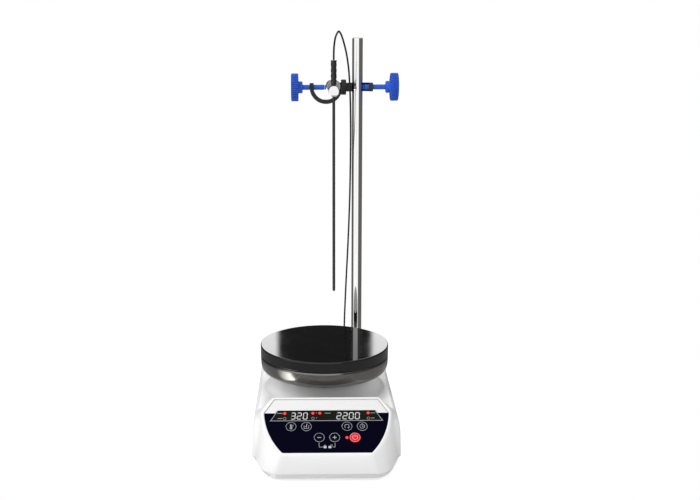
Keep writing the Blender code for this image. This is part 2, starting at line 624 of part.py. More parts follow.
# arm hook: a C in the upright plane, open at the top
inner, outer = ARM_HOOK_R - HOOK_T / 2, ARM_HOOK_R + HOOK_T / 2
block = DISC_X0 - FIT - ARM_HOOK_X
seat = ARM_X + ARM_R + FIT - ARM_HOOK_X
block_angle = 360 - math.degrees(math.acos(block / outer))
seat_angle = 360 - math.degrees(math.acos(seat / inner))
outline = [(-outer, 4.8)] + arc(outer, 180, block_angle, 18) + [(block, 5.2), (seat, 5.2)]
outline += arc(inner, seat_angle, 180, 16) + [(-inner, 4.8)]
place = (ARM_HOOK_X, ROD_Y, CLAMP_Z)
arm_hook = build("arm_hook", [prism(outline, -HOOK_W / 2, HOOK_W / 2, XZ_FRAME)], "black",
                 place)
cut(arm_hook, "arm_hook_cut",
    [cylinder(SCREW_HOLE_R, -25.0, -8.0, axis="X", seg=20),
     cylinder(PIN_HOLE_R, 9.0, 20.0, axis="X", seg=20)], origin=place)

lathe("swivel_disc",
      [(0, PIN_X1), (PIN_R, PIN_X1), (PIN_R, DISC_X1), (DISC_R - 0.5, DISC_X1),
       (DISC_R, DISC_X1 - 0.5), (DISC_R, DISC_X0 + 0.5), (DISC_R - 0.5, DISC_X0),
       (PIN_R, DISC_X0), (PIN_R, PIN_X0), (0, PIN_X0)],
      "black", (0, ROD_Y, CLAMP_Z), steps=20, rot=ALONG_X)


def thumbscrew(tag, way, tip, hub, wheel_in, wheel_out):
    """Wheel, hub and shank in one moulding, with a separate tip.

    The last four are places along X; way is +1 with the wheel towards +X, else -1."""
    tip_profile = [(0, way * 1.5), (2.2, way * 1.5), (2.6, way * 1.1), (2.6, 0), (0, 0)]
    lathe(tag + "_screw_tip", tip_profile[::way], "steel", (tip, ROD_Y, CLAMP_Z), steps=12,
          rot=ALONG_X)
    edge = 0.8  # chamfer of the wheel
    shank = tip + way * 1.8
    profile = [(0, wheel_out), (WHEEL_R - edge, wheel_out), (WHEEL_R, wheel_out - way * edge),
               (WHEEL_R, wheel_in + way * edge), (WHEEL_R - edge, wheel_in),
               (HUB_R, wheel_in), (HUB_R, hub), (SCREW_R, hub), (SCREW_R, shank), (0, shank)]
    lathe(tag + "_thumbscrew", profile[::way], "blue", (0, ROD_Y, CLAMP_Z), steps=24,
          rot=ALONG_X)


thumbscrew("rod", 1, tip=ROD_X + ROD_R + FIT, hub=72.2, wheel_in=77.6, wheel_out=86.3)
thumbscrew("arm", -1, tip=ARM_X - ARM_R, hub=-22.4, wheel_in=-27.2, wheel_out=-35.5)

# ---------------------------------------------------------------- probe arm and probe
# a bar with a flange and a cross-drilled nose at its front end
place = (ARM_X, 0, ARM_Z)
nose_z = LOCK_Z - ARM_Z
arm = build("probe_arm", [cylinder(ARM_R, 8.0, ARM_BACK, axis="Y", seg=28)], "chrome", place)
join(arm, "arm_flange_add", [cylinder(7.1, 3.7, 8.9, 0, 0.7, axis="Y", seg=28)],
     origin=place)
join(arm, "arm_nose_add", [cylinder(5.1, -5.0, 4.5, 0, nose_z, axis="Y")], origin=place)
cut(arm, "arm_cross_hole_cut", [cylinder(PROBE_R + FIT, -15.0, 3.0, seg=16)], origin=place)
cut(arm, "arm_thread_cut", [cylinder(2.35, -8.0, -0.5, 0, nose_z, axis="Y", seg=16)],
    origin=place)

lathe("probe_lock_screw",
      [(0, -1.9), (2.0, -1.9), (2.0, -5.4), (5.2, -5.4), (5.6, -5.8), (5.6, -8.6),
       (5.2, -9.0), (0, -9.0)],
      "chrome", (ARM_X, 0, LOCK_Z), steps=20, rot=ALONG_Y)
lathe("probe_sheath",
      [(0, PROBE_TOP), (PROBE_R, PROBE_TOP), (PROBE_R, PROBE_TIP + 1.5),
       (0.9, PROBE_TIP + 0.2), (0, PROBE_TIP)],
      "black", (ARM_X, 0, 0), steps=16)

# grip with a rippled side
RIPPLE_STEPS, RIPPLES = 13, 3.2
RIPPLE_R, RIPPLE_DEPTH = 2.85, 0.28  # mean radius, swing either way
grip = [(0, GRIP_TOP), (2.2, GRIP_TOP), (3.1, GRIP_TOP - 0.5)]
for k in range(1, RIPPLE_STEPS + 1):
    down = k / RIPPLE_STEPS
    grip.append((RIPPLE_R + RIPPLE_DEPTH * math.cos(2 * math.pi * RIPPLES * down),
                 GRIP_TOP - 0.5 - down * (GRIP_TOP - GRIP_BOTTOM - 1.0)))
grip += [(2.3, GRIP_BOTTOM), (0, GRIP_BOTTOM)]
lathe("probe_grip", grip, "rubber", (ARM_X, 0, 0), steps=12)

# ---------------------------------------------------------------- probe cable
# from the rear socket up beside the rod, over and down to the grip: x, y, z
CABLE_KNOTS = [
    (SOCKET_X, 141.4, SOCKET_Z), (SOCKET_X, 147.0, 30.2), (28.0, 150.8, 35.0),
    (27.8, 151.0, 44.0), (27.5, 146.5, 62.0), (27.6, 138.0, 88.0), (28.8, 124.0, 135.0),
    (30.6, 110.0, 190.0), (31.9, 99.5, 245.0), (32.3, 92.5, 300.0), (32.0, 88.0, 335.0),
    (31.2, 85.5, 362.0), (29.8, 80.5, 383.0), (28.3, 73.5, 394.0), (26.5, 66.0, 403.5),
    (24.2, 58.0, 412.0), (21.5, 49.5, 420.0), (19.2, 42.5, 425.0), (16.9, 35.0, 427.4),
    (15.0, 26.0, 425.6), (12.6, 14.5, 420.5), (11.1, 5.2, 413.0), (10.5, 0.8, 405.5),
    (ARM_X, 0.0, GRIP_TOP + 0.4),
]


def smooth_line(knots, per_span):
    """Points along a smooth curve through the knots (Catmull-Rom)."""
    pts = [Vector(p) for p in knots]
    pts = [2 * pts[0] - pts[1]] + pts + [2 * pts[-1] - pts[-2]]
    out = []
    for a, b, c, d in zip(pts, pts[1:], pts[2:], pts[3:]):
        for k in range(per_span):
            t = k / per_span
            out.append(0.5 * ((2 * b) + (c - a) * t + (2 * a - 5 * b + 4 * c - d) * t * t
                              + (3 * b - a - 3 * c + d) * t ** 3))
    return out + [pts[-2]]


curve = bpy.data.curves.new("probe_cable", "CURVE")
curve.dimensions = "3D"
line = smooth_line(CABLE_KNOTS, per_span=2)
spline = curve.splines.new("POLY")
spline.points.add(len(line) - 1)
for point, co in zip(spline.points, line):
    point.co = (*at(co), 1.0)
curve.bevel_depth = CABLE_R * MM
curve.bevel_resolution = 2
curve.use_fill_caps = True
finish(bpy.data.objects.new("probe_cable", curve), "rubber")
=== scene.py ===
# Magnetic stirrer with a hotplate, support rod, boss head and cabled temperature probe.
# Shapes are in mm above the bench: x to the right, y to the rear, z up, plate axis at x = y = 0.
# The model's own frame is in metres with its zero at the middle of the plate's top.
from math import acos, atan2, cos, degrees, hypot, pi, radians, sin, sqrt, tan

import bmesh
import bpy
import numpy as np
from mathutils import Matrix, Vector


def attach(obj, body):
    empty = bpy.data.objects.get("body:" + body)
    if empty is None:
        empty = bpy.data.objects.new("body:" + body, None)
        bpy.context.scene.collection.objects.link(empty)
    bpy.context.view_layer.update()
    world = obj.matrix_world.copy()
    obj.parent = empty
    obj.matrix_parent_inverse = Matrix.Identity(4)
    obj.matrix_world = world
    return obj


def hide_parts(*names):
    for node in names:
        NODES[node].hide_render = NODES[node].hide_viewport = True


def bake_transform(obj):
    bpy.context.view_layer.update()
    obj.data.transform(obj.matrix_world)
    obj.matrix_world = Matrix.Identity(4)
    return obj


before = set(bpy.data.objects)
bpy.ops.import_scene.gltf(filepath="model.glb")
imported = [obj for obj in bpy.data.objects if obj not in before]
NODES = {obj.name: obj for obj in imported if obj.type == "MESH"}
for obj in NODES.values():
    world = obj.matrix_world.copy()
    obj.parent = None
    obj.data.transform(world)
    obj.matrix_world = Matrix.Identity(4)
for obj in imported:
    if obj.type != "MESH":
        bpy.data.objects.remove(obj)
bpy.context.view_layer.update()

# ================================================================ dimensions, mm
MM = 0.001
PLATE_TOP = 95.0
PLATE_R, PLATE_T = 69.5, 11.2
RING_TOP, RING_BOTTOM = 83.4, 66.8
COLLAR_R, COLLAR_TOP = 59.3, 70.0

# Housing
DECK, SEAM, WALL = 46.0, 9.3, 3.0
FRONT_Y, REAR_Y = -145.3, 117.0
FEET = {"fl": (-50, -118), "fr": (50, -118), "rl": (-52, 97), "rr": (52, 88)}
BOSSES = {"fl": (-61, -98), "fr": (61, -98), "rl": (-63, 84), "rr": (63, 74)}

# Control panel. Its own coordinates are x, s up the slope and n off the face.
PANEL_Y, PANEL_Z = -143.0, 30.0
PANEL_TILT = radians(35.0)
PANEL_S_TOP = 64.0
ARC_A, ARC_B, ARC_S0 = 61.5, 68.6, 50.0  # half axes and centre of the label's elliptic sides
LABEL_TOP_X, LABEL_TOP_S = 51.7, 61.0
BAND_S = 45.0  # above this the label is white
RIM, RECESS = 3.0, 1.4
WINDOW_LOW_X, WINDOW_LOW_S = 56.2, 35.6
WINDOW_TOP_X, WINDOW_TOP_S = 48.3, 47.9
KEY_R = 5.3
KEYS = {  # name: x, s
    "key_temperature": (-34.7, 29.4),
    "key_probe": (-19.8, 29.4),
    "key_speed": (19.8, 29.4),
    "key_timer": (34.7, 29.4),
    "key_minus": (-7.4, 17.0),
    "key_plus": (7.5, 17.0),
    "key_start_stop": (27.2, 17.0),
}

# Rod, boss head, arm and probe
ROD_X, ROD_Y, ROD_R = 40.0, 97.0, 6.0
ROD_BOTTOM, ROD_TOP = 27.5, 423.0
CLAMP_Z = 368.0
CLEARANCE = 0.3
HOOK_T, HOOK_W = 4.6, 9.8
ARM_HOOK_X, ARM_HOOK_R = 4.3, 16.4
ROD_HOOK_X, ROD_HOOK_R = 42.5, 12.8
DISC_X0, DISC_X1, DISC_R = 21.5, 27.1, 8.6
SCREW_R, WHEEL_R, WHEEL_RIBS = 2.85, 15.65, 44
ARM_X, ARM_Z, ARM_R, ARM_BACK = 10.4, 370.0, 6.0, 110.0
LOCK_Z = 365.8
PROBE_R, PROBE_TIP = 1.5, 153.0
GRIP_BOTTOM, GRIP_TOP = 371.3, 397.3
CABLE_R, CABLE_SIDES = 1.0, 20

# Rear panel
INLET_X0, INLET_X1, INLET_Z0, INLET_Z1 = -40.0, 4.0, 14.0, 42.0
ROCKER_X, ROCKER_Y, ROCKER_Z = -4.0, 112.0, 28.0
SOCKET_X, SOCKET_Z = 28.0, 29.0


def shift(x=0.0, y=0.0, z=0.0):
    return Matrix.Translation((x, y, z))


def at(x, y, z):
    """A point in mm above the bench, in the model's frame."""
    return Vector((x, y, z - PLATE_TOP)) * MM


UNMOVED = Matrix.Identity(4)
FRAME = shift(0, 0, -PLATE_TOP * MM) @ Matrix.Diagonal((MM, MM, MM, 1.0))
ALONG_X = Matrix.Rotation(pi / 2, 4, "Y")  # turns z to x
ALONG_Y = Matrix.Rotation(-pi / 2, 4, "X")  # turns z to y
STAND_UP = Matrix.Rotation(pi / 2, 4, "X")  # an outline in x, y becomes one in x, z
OUTLINE_YZ = Matrix(((0, 0, 1, 0), (1, 0, 0, 0), (0, 1, 0, 0), (0, 0, 0, 1)))
PANEL = shift(0, PANEL_Y, PANEL_Z) @ Matrix.Rotation(PANEL_TILT, 4, "X")
ROD_AXIS = shift(ROD_X, ROD_Y)
SCREW_AXIS = shift(0, ROD_Y, CLAMP_Z) @ ALONG_X
LOCK_AXIS = shift(ARM_X, 0, LOCK_Z) @ ALONG_Y
SOCKET_AXIS = shift(SOCKET_X, 0, SOCKET_Z) @ ALONG_Y
SIN, COS = sin(PANEL_TILT), cos(PANEL_TILT)


# ================================================================ materials
class Nodes:
    """Adds and wires the nodes of one shader tree. Sockets and plain values are both accepted."""

    def __init__(self, tree):
        self.tree = tree

    def feed(self, socket, value):
        if isinstance(value, bpy.types.NodeSocket):
            self.tree.links.new(value, socket)
        else:
            socket.default_value = (*value, 1.0) if socket.type == "RGBA" else value

    def set(self, node, **settings):
        """Capitalised settings are inputs, with _ for a space. The others are properties."""
        for key, value in settings.items():
            if key[0].isupper():
                self.feed(node.inputs[key.replace("_", " ")], value)
            else:
                setattr(node, key, value)
        return node

    def new(self, kind, **settings):
        return self.set(self.tree.nodes.new("ShaderNode" + kind), **settings)

    def math(self, operation, *values):
        node = self.new("Math", operation=operation)
        for socket, value in zip(node.inputs, values):
            self.feed(socket, value)
        return node.outputs[0]

    def ramp(self, fac, stops, interpolation="LINEAR"):
        """Stops are (position, colour or grey level)."""
        node = self.new("ValToRGB", Fac=fac)
        node.color_ramp.interpolation = interpolation
        elements = node.color_ramp.elements
        while len(elements) < len(stops):
            elements.new(0.5)
        for element, (position, colour) in zip(elements, stops):
            element.position = position
            grey = isinstance(colour, (int, float))
            element.color = (*((colour,) * 3 if grey else colour), 1.0)
        return node.outputs[0]

    def remap(self, value, low, high, to_low=0.0, to_high=1.0):
        return self.new("MapRange", Value=value, From_Min=low, From_Max=high,
                        To_Min=to_low, To_Max=to_high).outputs[0]

    def mix(self, fac, a, b, blend_type="MIX"):
        node = self.new("Mix", data_type="RGBA", blend_type=blend_type)
        for index, value in ((0, fac), (6, a), (7, b)):
            self.feed(node.inputs[index], value)
        return node.outputs[2]

    def mix_shader(self, fac, a, b):
        node = self.new("MixShader")
        for socket, value in zip(node.inputs, (fac, a, b)):
            self.feed(socket, value)
        return node.outputs[0]


MATERIALS = {}


def surface(name, colour, rough, metal=0.0, mottle=0.05, mottle_scale=40.0, second=None,
            rough_var=0.06, rough_scale=160.0, grain=0.0, grain_scale=2500.0, grain_depth=4e-5,
            turned=0.0, turned_axis=2, stretch=(1, 1, 1), coat=0.0, coat_rough=0.05, spec=0.5,
            dust=0.0, wear=0.0, wear_colour=(0.5, 0.5, 0.5), emission=0.0, emission_colour=None,
            shade_in=0.0, shade_reach=0.045, shade_above=None):
    """A Principled material whose colour, roughness and relief come from noise in the part's
    own coordinates. Lengths are in metres. turned adds lathe lines across an axis, or across
    the radius for "R". shade_in paints shade into the colour of recesses, from ambient
    occlusion within shade_reach, fading in above the height shade_above."""
    material = bpy.data.materials.new(name)
    material.use_nodes = True
    g = Nodes(material.node_tree)
    principled = g.tree.nodes["Principled BSDF"]
    coord = g.new("TexCoord").outputs["Object"]
    stretched = g.new("Mapping", Scale=stretch, Vector=coord).outputs[0]

    def noise(scale, detail=4.0):
        return g.new("TexNoise", Scale=scale, Detail=detail, Roughness=0.55,
                     Vector=stretched).outputs["Fac"]

    def toned(k):
        return tuple(min(1.0, max(0.0, v * k)) for v in colour)

    shown = g.ramp(noise(mottle_scale), [(0.30, toned(1 - mottle)),
                                         (0.70, second or toned(1 + mottle))])
    if dust:
        speck = g.ramp(noise(900.0, detail=2.0), [(0.62, 0), (0.72, dust)])
        shown = g.mix(speck, shown, (0.6, 0.6, 0.6))
    if wear:  # broken patches along the edges
        edge = g.ramp(g.new("NewGeometry").outputs["Pointiness"], [(0.52, 0), (0.62, 1)])
        patches = g.ramp(noise(500.0, detail=3.0), [(0.45, 0), (0.6, wear)])
        shown = g.mix(g.math("MULTIPLY", edge, patches), shown, wear_colour)
    # painted shade: ambient occlusion darkens the colour in recesses and under overhangs
    if shade_in:
        occlusion = g.new("AmbientOcclusion", samples=6, only_local=shade_above is None,
                          Distance=shade_reach)
        painted_shade = g.ramp(occlusion.outputs["AO"],
                      [(0.10, 1 - shade_in), (0.50, 1 - 0.62 * shade_in), (0.88, 1)])
        amount = 1.0
        if shade_above is not None:
            height = g.new("SeparateXYZ", Vector=coord).outputs[2]
            amount = g.remap(height, shade_above, shade_above + 0.008, to_low=0.42)
        shown = g.mix(amount, shown, painted_shade, "MULTIPLY")
    roughness = g.remap(noise(rough_scale, detail=5.0), 0.3, 0.7,
                        max(0.01, rough - rough_var), min(1.0, rough + rough_var))
    g.set(principled, Base_Color=shown, Roughness=roughness, Metallic=metal, IOR=1.5,
          Specular_IOR_Level=spec, Coat_Weight=coat, Coat_Roughness=coat_rough, Coat_IOR=1.5)
    if grain:
        relief = noise(grain_scale, detail=3.0)
        if turned:
            parts = g.new("SeparateXYZ", Vector=coord).outputs
            if turned_axis == "R":
                x2 = g.math("MULTIPLY", parts[0], parts[0])
                y2 = g.math("MULTIPLY", parts[1], parts[1])
                across = g.math("SQRT", g.math("ADD", x2, y2))
            else:
                across = parts[turned_axis]
            line = g.new("CombineXYZ", X=across).outputs[0]
            lines = g.new("TexNoise", Scale=2600.0, Detail=3.0, Vector=line).outputs["Fac"]
            relief = g.math("ADD", relief, g.math("MULTIPLY", lines, turned))
        bump = g.new("Bump", Strength=grain, Distance=grain_depth, Height=relief)
        g.set(principled, Normal=bump.outputs[0])
    if emission:
        g.set(principled, Emission_Color=emission_colour, Emission_Strength=emission)
    material.diffuse_color = (*colour, 1.0)
    MATERIALS[name] = material
    return material


# painted shade: ambient occlusion darkens the white in recesses and under the plate, at full
# strength from the deck up and weaker below it
surface("moulded_white", colour=(0.862, 0.862, 0.862), rough=0.33, mottle=0.012, mottle_scale=14,
        rough_var=0.05, grain=0.10, grain_scale=1700, grain_depth=3e-5, coat=0.05,
        coat_rough=0.25, spec=0.35, shade_in=0.64, shade_above=-0.056)
surface("plate_glaze", colour=(0.0045, 0.0045, 0.0048), rough=0.05, mottle=0.25, mottle_scale=60,
        rough_var=0.015, rough_scale=30, grain=0.02, grain_scale=700, grain_depth=1e-5)
surface("polished_steel", colour=(0.198, 0.191, 0.181), rough=0.15, metal=1.0, mottle=0.04,
        mottle_scale=120, rough_var=0.035, turned=1.0, grain=0.05, grain_scale=900,
        grain_depth=1e-5)
surface("chrome_plate", colour=(0.84, 0.83, 0.82), rough=0.05, metal=1.0, mottle=0.01,
        mottle_scale=30, rough_var=0.012, rough_scale=60, stretch=(1, 1, 0.15))
# painted shade: local ambient occlusion darkens the grooves turned in the flange
surface("turned_flange", colour=(0.30, 0.30, 0.30), rough=0.16, metal=1.0, mottle_scale=80,
        rough_var=0.03, turned=1.0, turned_axis="R", grain=0.03, grain_depth=1e-5, shade_in=0.7,
        shade_reach=0.003)
surface("chrome_turned", colour=(0.80, 0.79, 0.78), rough=0.07, metal=1.0, mottle=0.02,
        mottle_scale=50, rough_var=0.03, turned=0.6, turned_axis=1, grain=0.03, grain_depth=8e-6)
surface("cast_black", colour=(0.010, 0.010, 0.0105), rough=0.36, mottle=0.25, mottle_scale=260,
        rough_var=0.08, grain=0.25, grain_scale=1500, spec=0.32, wear=0.3,
        wear_colour=(0.06, 0.06, 0.06))
surface("moulded_black", colour=(0.017, 0.017, 0.018), rough=0.42, mottle=0.2, mottle_scale=120,
        rough_var=0.07, grain=0.3, grain_scale=2300)
# painted shade: local ambient occlusion darkens the blue in the grooves between the wheel's ribs
surface("moulded_blue", colour=(0.026, 0.108, 0.60), rough=0.40, mottle=0.02, mottle_scale=60,
        rough_var=0.02, grain=0.02, grain_scale=1800, grain_depth=1e-5, spec=0.2, shade_in=0.85,
        shade_reach=0.0022)
surface("printed_navy", colour=(0.0009, 0.0009, 0.0080), rough=0.42, mottle=0.15,
        mottle_scale=300, rough_var=0.04, grain=0.15, grain_scale=3200, grain_depth=2e-5,
        spec=0.02)
surface("printed_white", colour=(0.77, 0.77, 0.768), rough=0.38, mottle=0.01, mottle_scale=300,
        rough_var=0.04, grain=0.25, grain_scale=3200, grain_depth=2e-5)
surface("key_navy", colour=(0.0010, 0.0010, 0.0090), rough=0.38, mottle=0.12, mottle_scale=300,
        rough_var=0.05, grain=0.12, grain_scale=2400, grain_depth=2e-5, spec=0.03)
surface("key_red", colour=(0.80, 0.010, 0.016), rough=0.38, mottle_scale=300, rough_var=0.05,
        grain=0.15, grain_scale=2400, grain_depth=2e-5, spec=0.08)
surface("white_ink", colour=(0.80, 0.80, 0.82), rough=0.5, mottle=0.03, mottle_scale=600,
        rough_var=0.05, grain=0.2, grain_scale=5000, grain_depth=1e-5)
surface("soft_white_ink", colour=(0.52, 0.52, 0.56), rough=0.5, mottle=0.03, mottle_scale=600,
        rough_var=0.05, grain=0.2, grain_scale=5000, grain_depth=1e-5, spec=0.2)
# grey print on the window, also the painted shadow line in the gap round the white band
surface("grey_ink", colour=(0.36, 0.36, 0.37), rough=0.5, mottle_scale=600, rough_var=0.05,
        grain=0.2, grain_scale=5000, grain_depth=1e-5)
surface("unlit_segment", colour=(0.030, 0.028, 0.022), rough=0.4, mottle_scale=600)
surface("lit_segment", colour=(0.62, 0.62, 0.63), rough=0.45, mottle=0.03, mottle_scale=700,
        emission=0.06, emission_colour=(0.9, 0.92, 1.0))
surface("lit_led", colour=(0.90, 0.02, 0.02), rough=0.3, mottle=0.08, mottle_scale=900,
        emission=0.9, emission_colour=(1.0, 0.03, 0.03))
surface("smoked_window", colour=(0.0060, 0.0052, 0.0040), rough=0.22, spec=0.10, mottle=0.15,
        mottle_scale=80, rough_var=0.05, grain=0.04, grain_scale=1200, grain_depth=1e-5)
surface("foot_rubber", colour=(0.022, 0.022, 0.023), rough=0.78, mottle=0.22, mottle_scale=220,
        rough_var=0.08, grain=0.5, grain_scale=1600, grain_depth=8e-5, dust=0.10)
surface("grip_rubber", colour=(0.012, 0.012, 0.0125), rough=0.50, mottle=0.2, mottle_scale=260,
        rough_var=0.08, grain=0.2, grain_scale=2600, grain_depth=3e-5, spec=0.4)
surface("cable_jacket", colour=(0.007, 0.007, 0.0075), rough=0.42, mottle=0.15,
        mottle_scale=500, grain=0.2, grain_scale=3000, grain_depth=2e-5, spec=0.25)
surface("probe_coating", colour=(0.014, 0.014, 0.015), rough=0.30, mottle=0.15,
        mottle_scale=300, rough_var=0.03, grain=0.03, grain_depth=1e-5, spec=0.45)
surface("zinc_plate", colour=(0.56, 0.565, 0.58), rough=0.28, metal=1.0, mottle=0.10,
        mottle_scale=220, rough_var=0.08, second=(0.66, 0.64, 0.60), turned=0.5, grain=0.10,
        grain_depth=2e-5)
surface("tinned_brass", colour=(0.62, 0.50, 0.30), rough=0.25, metal=1.0, mottle=0.08,
        mottle_scale=300, grain=0.1, grain_depth=1e-5)
surface("milled_aluminium", colour=(0.62, 0.63, 0.64), rough=0.33, metal=1.0, mottle=0.06,
        mottle_scale=150, rough_var=0.08, stretch=(1, 12, 1), grain=0.25, grain_scale=700,
        grain_depth=3e-5)
surface("nickel_magnet", colour=(0.42, 0.41, 0.39), rough=0.22, metal=1.0, mottle=0.08,
        mottle_scale=150, grain=0.08, grain_depth=1e-5, wear=0.3)
surface("mineral_wool", colour=(0.62, 0.57, 0.47), rough=0.95, mottle=0.22, mottle_scale=420,
        rough_var=0.04, grain=1.0, grain_scale=900, grain_depth=4e-4, stretch=(1, 1, 3))
surface("mica_heater", colour=(0.30, 0.22, 0.13), rough=0.5, mottle=0.35, mottle_scale=70,
        rough_var=0.12, turned=1.0, turned_axis="R", grain=0.5, grain_depth=6e-5)
surface("laminated_core", colour=(0.10, 0.085, 0.07), rough=0.55, mottle=0.3, mottle_scale=120,
        turned=1.0, turned_axis=1, grain=0.8, grain_depth=1e-4)
surface("winding_tape", colour=(0.62, 0.36, 0.06), rough=0.35, mottle=0.12, mottle_scale=110,
        grain=0.3, grain_scale=600, grain_depth=6e-5, coat=0.4, coat_rough=0.1)
surface("copper_winding", colour=(0.55, 0.20, 0.07), rough=0.30, metal=1.0, mottle=0.15,
        mottle_scale=200, turned=1.0, grain=0.7, grain_depth=8e-5)
surface("chip_epoxy", colour=(0.016, 0.016, 0.017), rough=0.6, mottle=0.2, mottle_scale=500,
        grain=0.4, grain_scale=3000, grain_depth=3e-5)


def circuit_board():
    """Green solder mask over copper tracks, from a brick pattern and dots."""
    material = surface("circuit_board", colour=(0.008, 0.085, 0.032), rough=0.34, mottle=0.12,
                       mottle_scale=90, rough_var=0.07, coat=0.5, coat_rough=0.12, grain=0.1,
                       grain_scale=1800)
    g = Nodes(material.node_tree)
    principled = g.tree.nodes["Principled BSDF"]
    mask = principled.inputs["Base Color"].links[0].from_socket
    coord = g.new("TexCoord").outputs["Object"]
    brick = g.new("TexBrick", Scale=150.0, Mortar_Size=0.035, Color1=(0, 0, 0),
                  Color2=(0, 0, 0), Mortar=(1, 1, 1), Vector=coord)
    dots = g.new("TexVoronoi", Scale=330.0, Vector=coord)
    pads = g.ramp(dots.outputs["Distance"], [(0.16, 1), (0.20, 0)], "CONSTANT")
    tracks = g.mix(brick.outputs["Color"], mask, (0.02, 0.16, 0.06))
    g.set(principled, Base_Color=g.mix(pads, tracks, (0.45, 0.42, 0.36)))


circuit_board()


# ================================================================ outlines and profiles
def rounded(points, radius, seg=4, closed=False):
    """Round the corners of a 2D polyline. radius is one number or one per point."""
    out = []
    last = len(points) - 1
    for i, point in enumerate(points):
        r = radius[i] if isinstance(radius, (list, tuple)) else radius
        if r <= 0 or (not closed and i in (0, last)):
            out.append(tuple(point))
            continue
        p = Vector(point)
        back = Vector(points[i - 1]) - p
        ahead = Vector(points[(i + 1) % len(points)]) - p
        back_length, ahead_length = back.length, ahead.length
        back, ahead = back / back_length, ahead / ahead_length
        corner = acos(max(-1.0, min(1.0, back.dot(ahead))))
        if corner > radians(175):
            out.append(tuple(point))
            continue
        trim = min(r / tan(corner / 2), back_length * 0.49, ahead_length * 0.49)
        r = trim * tan(corner / 2)
        centre = p + (back + ahead).normalized() * (r / sin(corner / 2))
        v0, v1 = (p + back * trim) - centre, (p + ahead * trim) - centre
        start, sweep = atan2(v0.y, v0.x), pi - corner
        if v0.x * v1.y - v0.y * v1.x < 0:
            sweep = -sweep
        for k in range(seg + 1):
            a = start + sweep * k / seg
            out.append((centre.x + r * cos(a), centre.y + r * sin(a)))
    return out


def rect(x0, y0, x1, y1, radius=0.0, seg=4):
    return rounded([(x0, y0), (x1, y0), (x1, y1), (x0, y1)], radius, seg, closed=True)


def arc(r, a0, a1, steps, cx=0.0, cy=0.0):
    """Points from angle a0 to a1, in degrees."""
    angles = [radians(a0 + (a1 - a0) * k / steps) for k in range(steps + 1)]
    return [(cx + r * cos(a), cy + r * sin(a)) for a in angles]


def mirrored(half):
    """Close a right half outline with its left half."""
    return half + [(-x, y) for x, y in reversed(half) if x > 1e-6]


def catmull_rom(a, b, c, d, t):
    """Point between b and c on a smooth curve."""
    return 0.5 * ((2 * b) + (c - a) * t + (2 * a - 5 * b + 4 * c - d) * t * t
                  + (3 * b - a - 3 * c + d) * t ** 3)


def thread(start, end, pitch, crest, root):
    """Turned (radius, height) points of thread ridges, from start down to end."""
    points = []
    h = start
    while h > end:
        points += [(crest, h), (root, h - pitch / 2)]
        h -= pitch
    return points


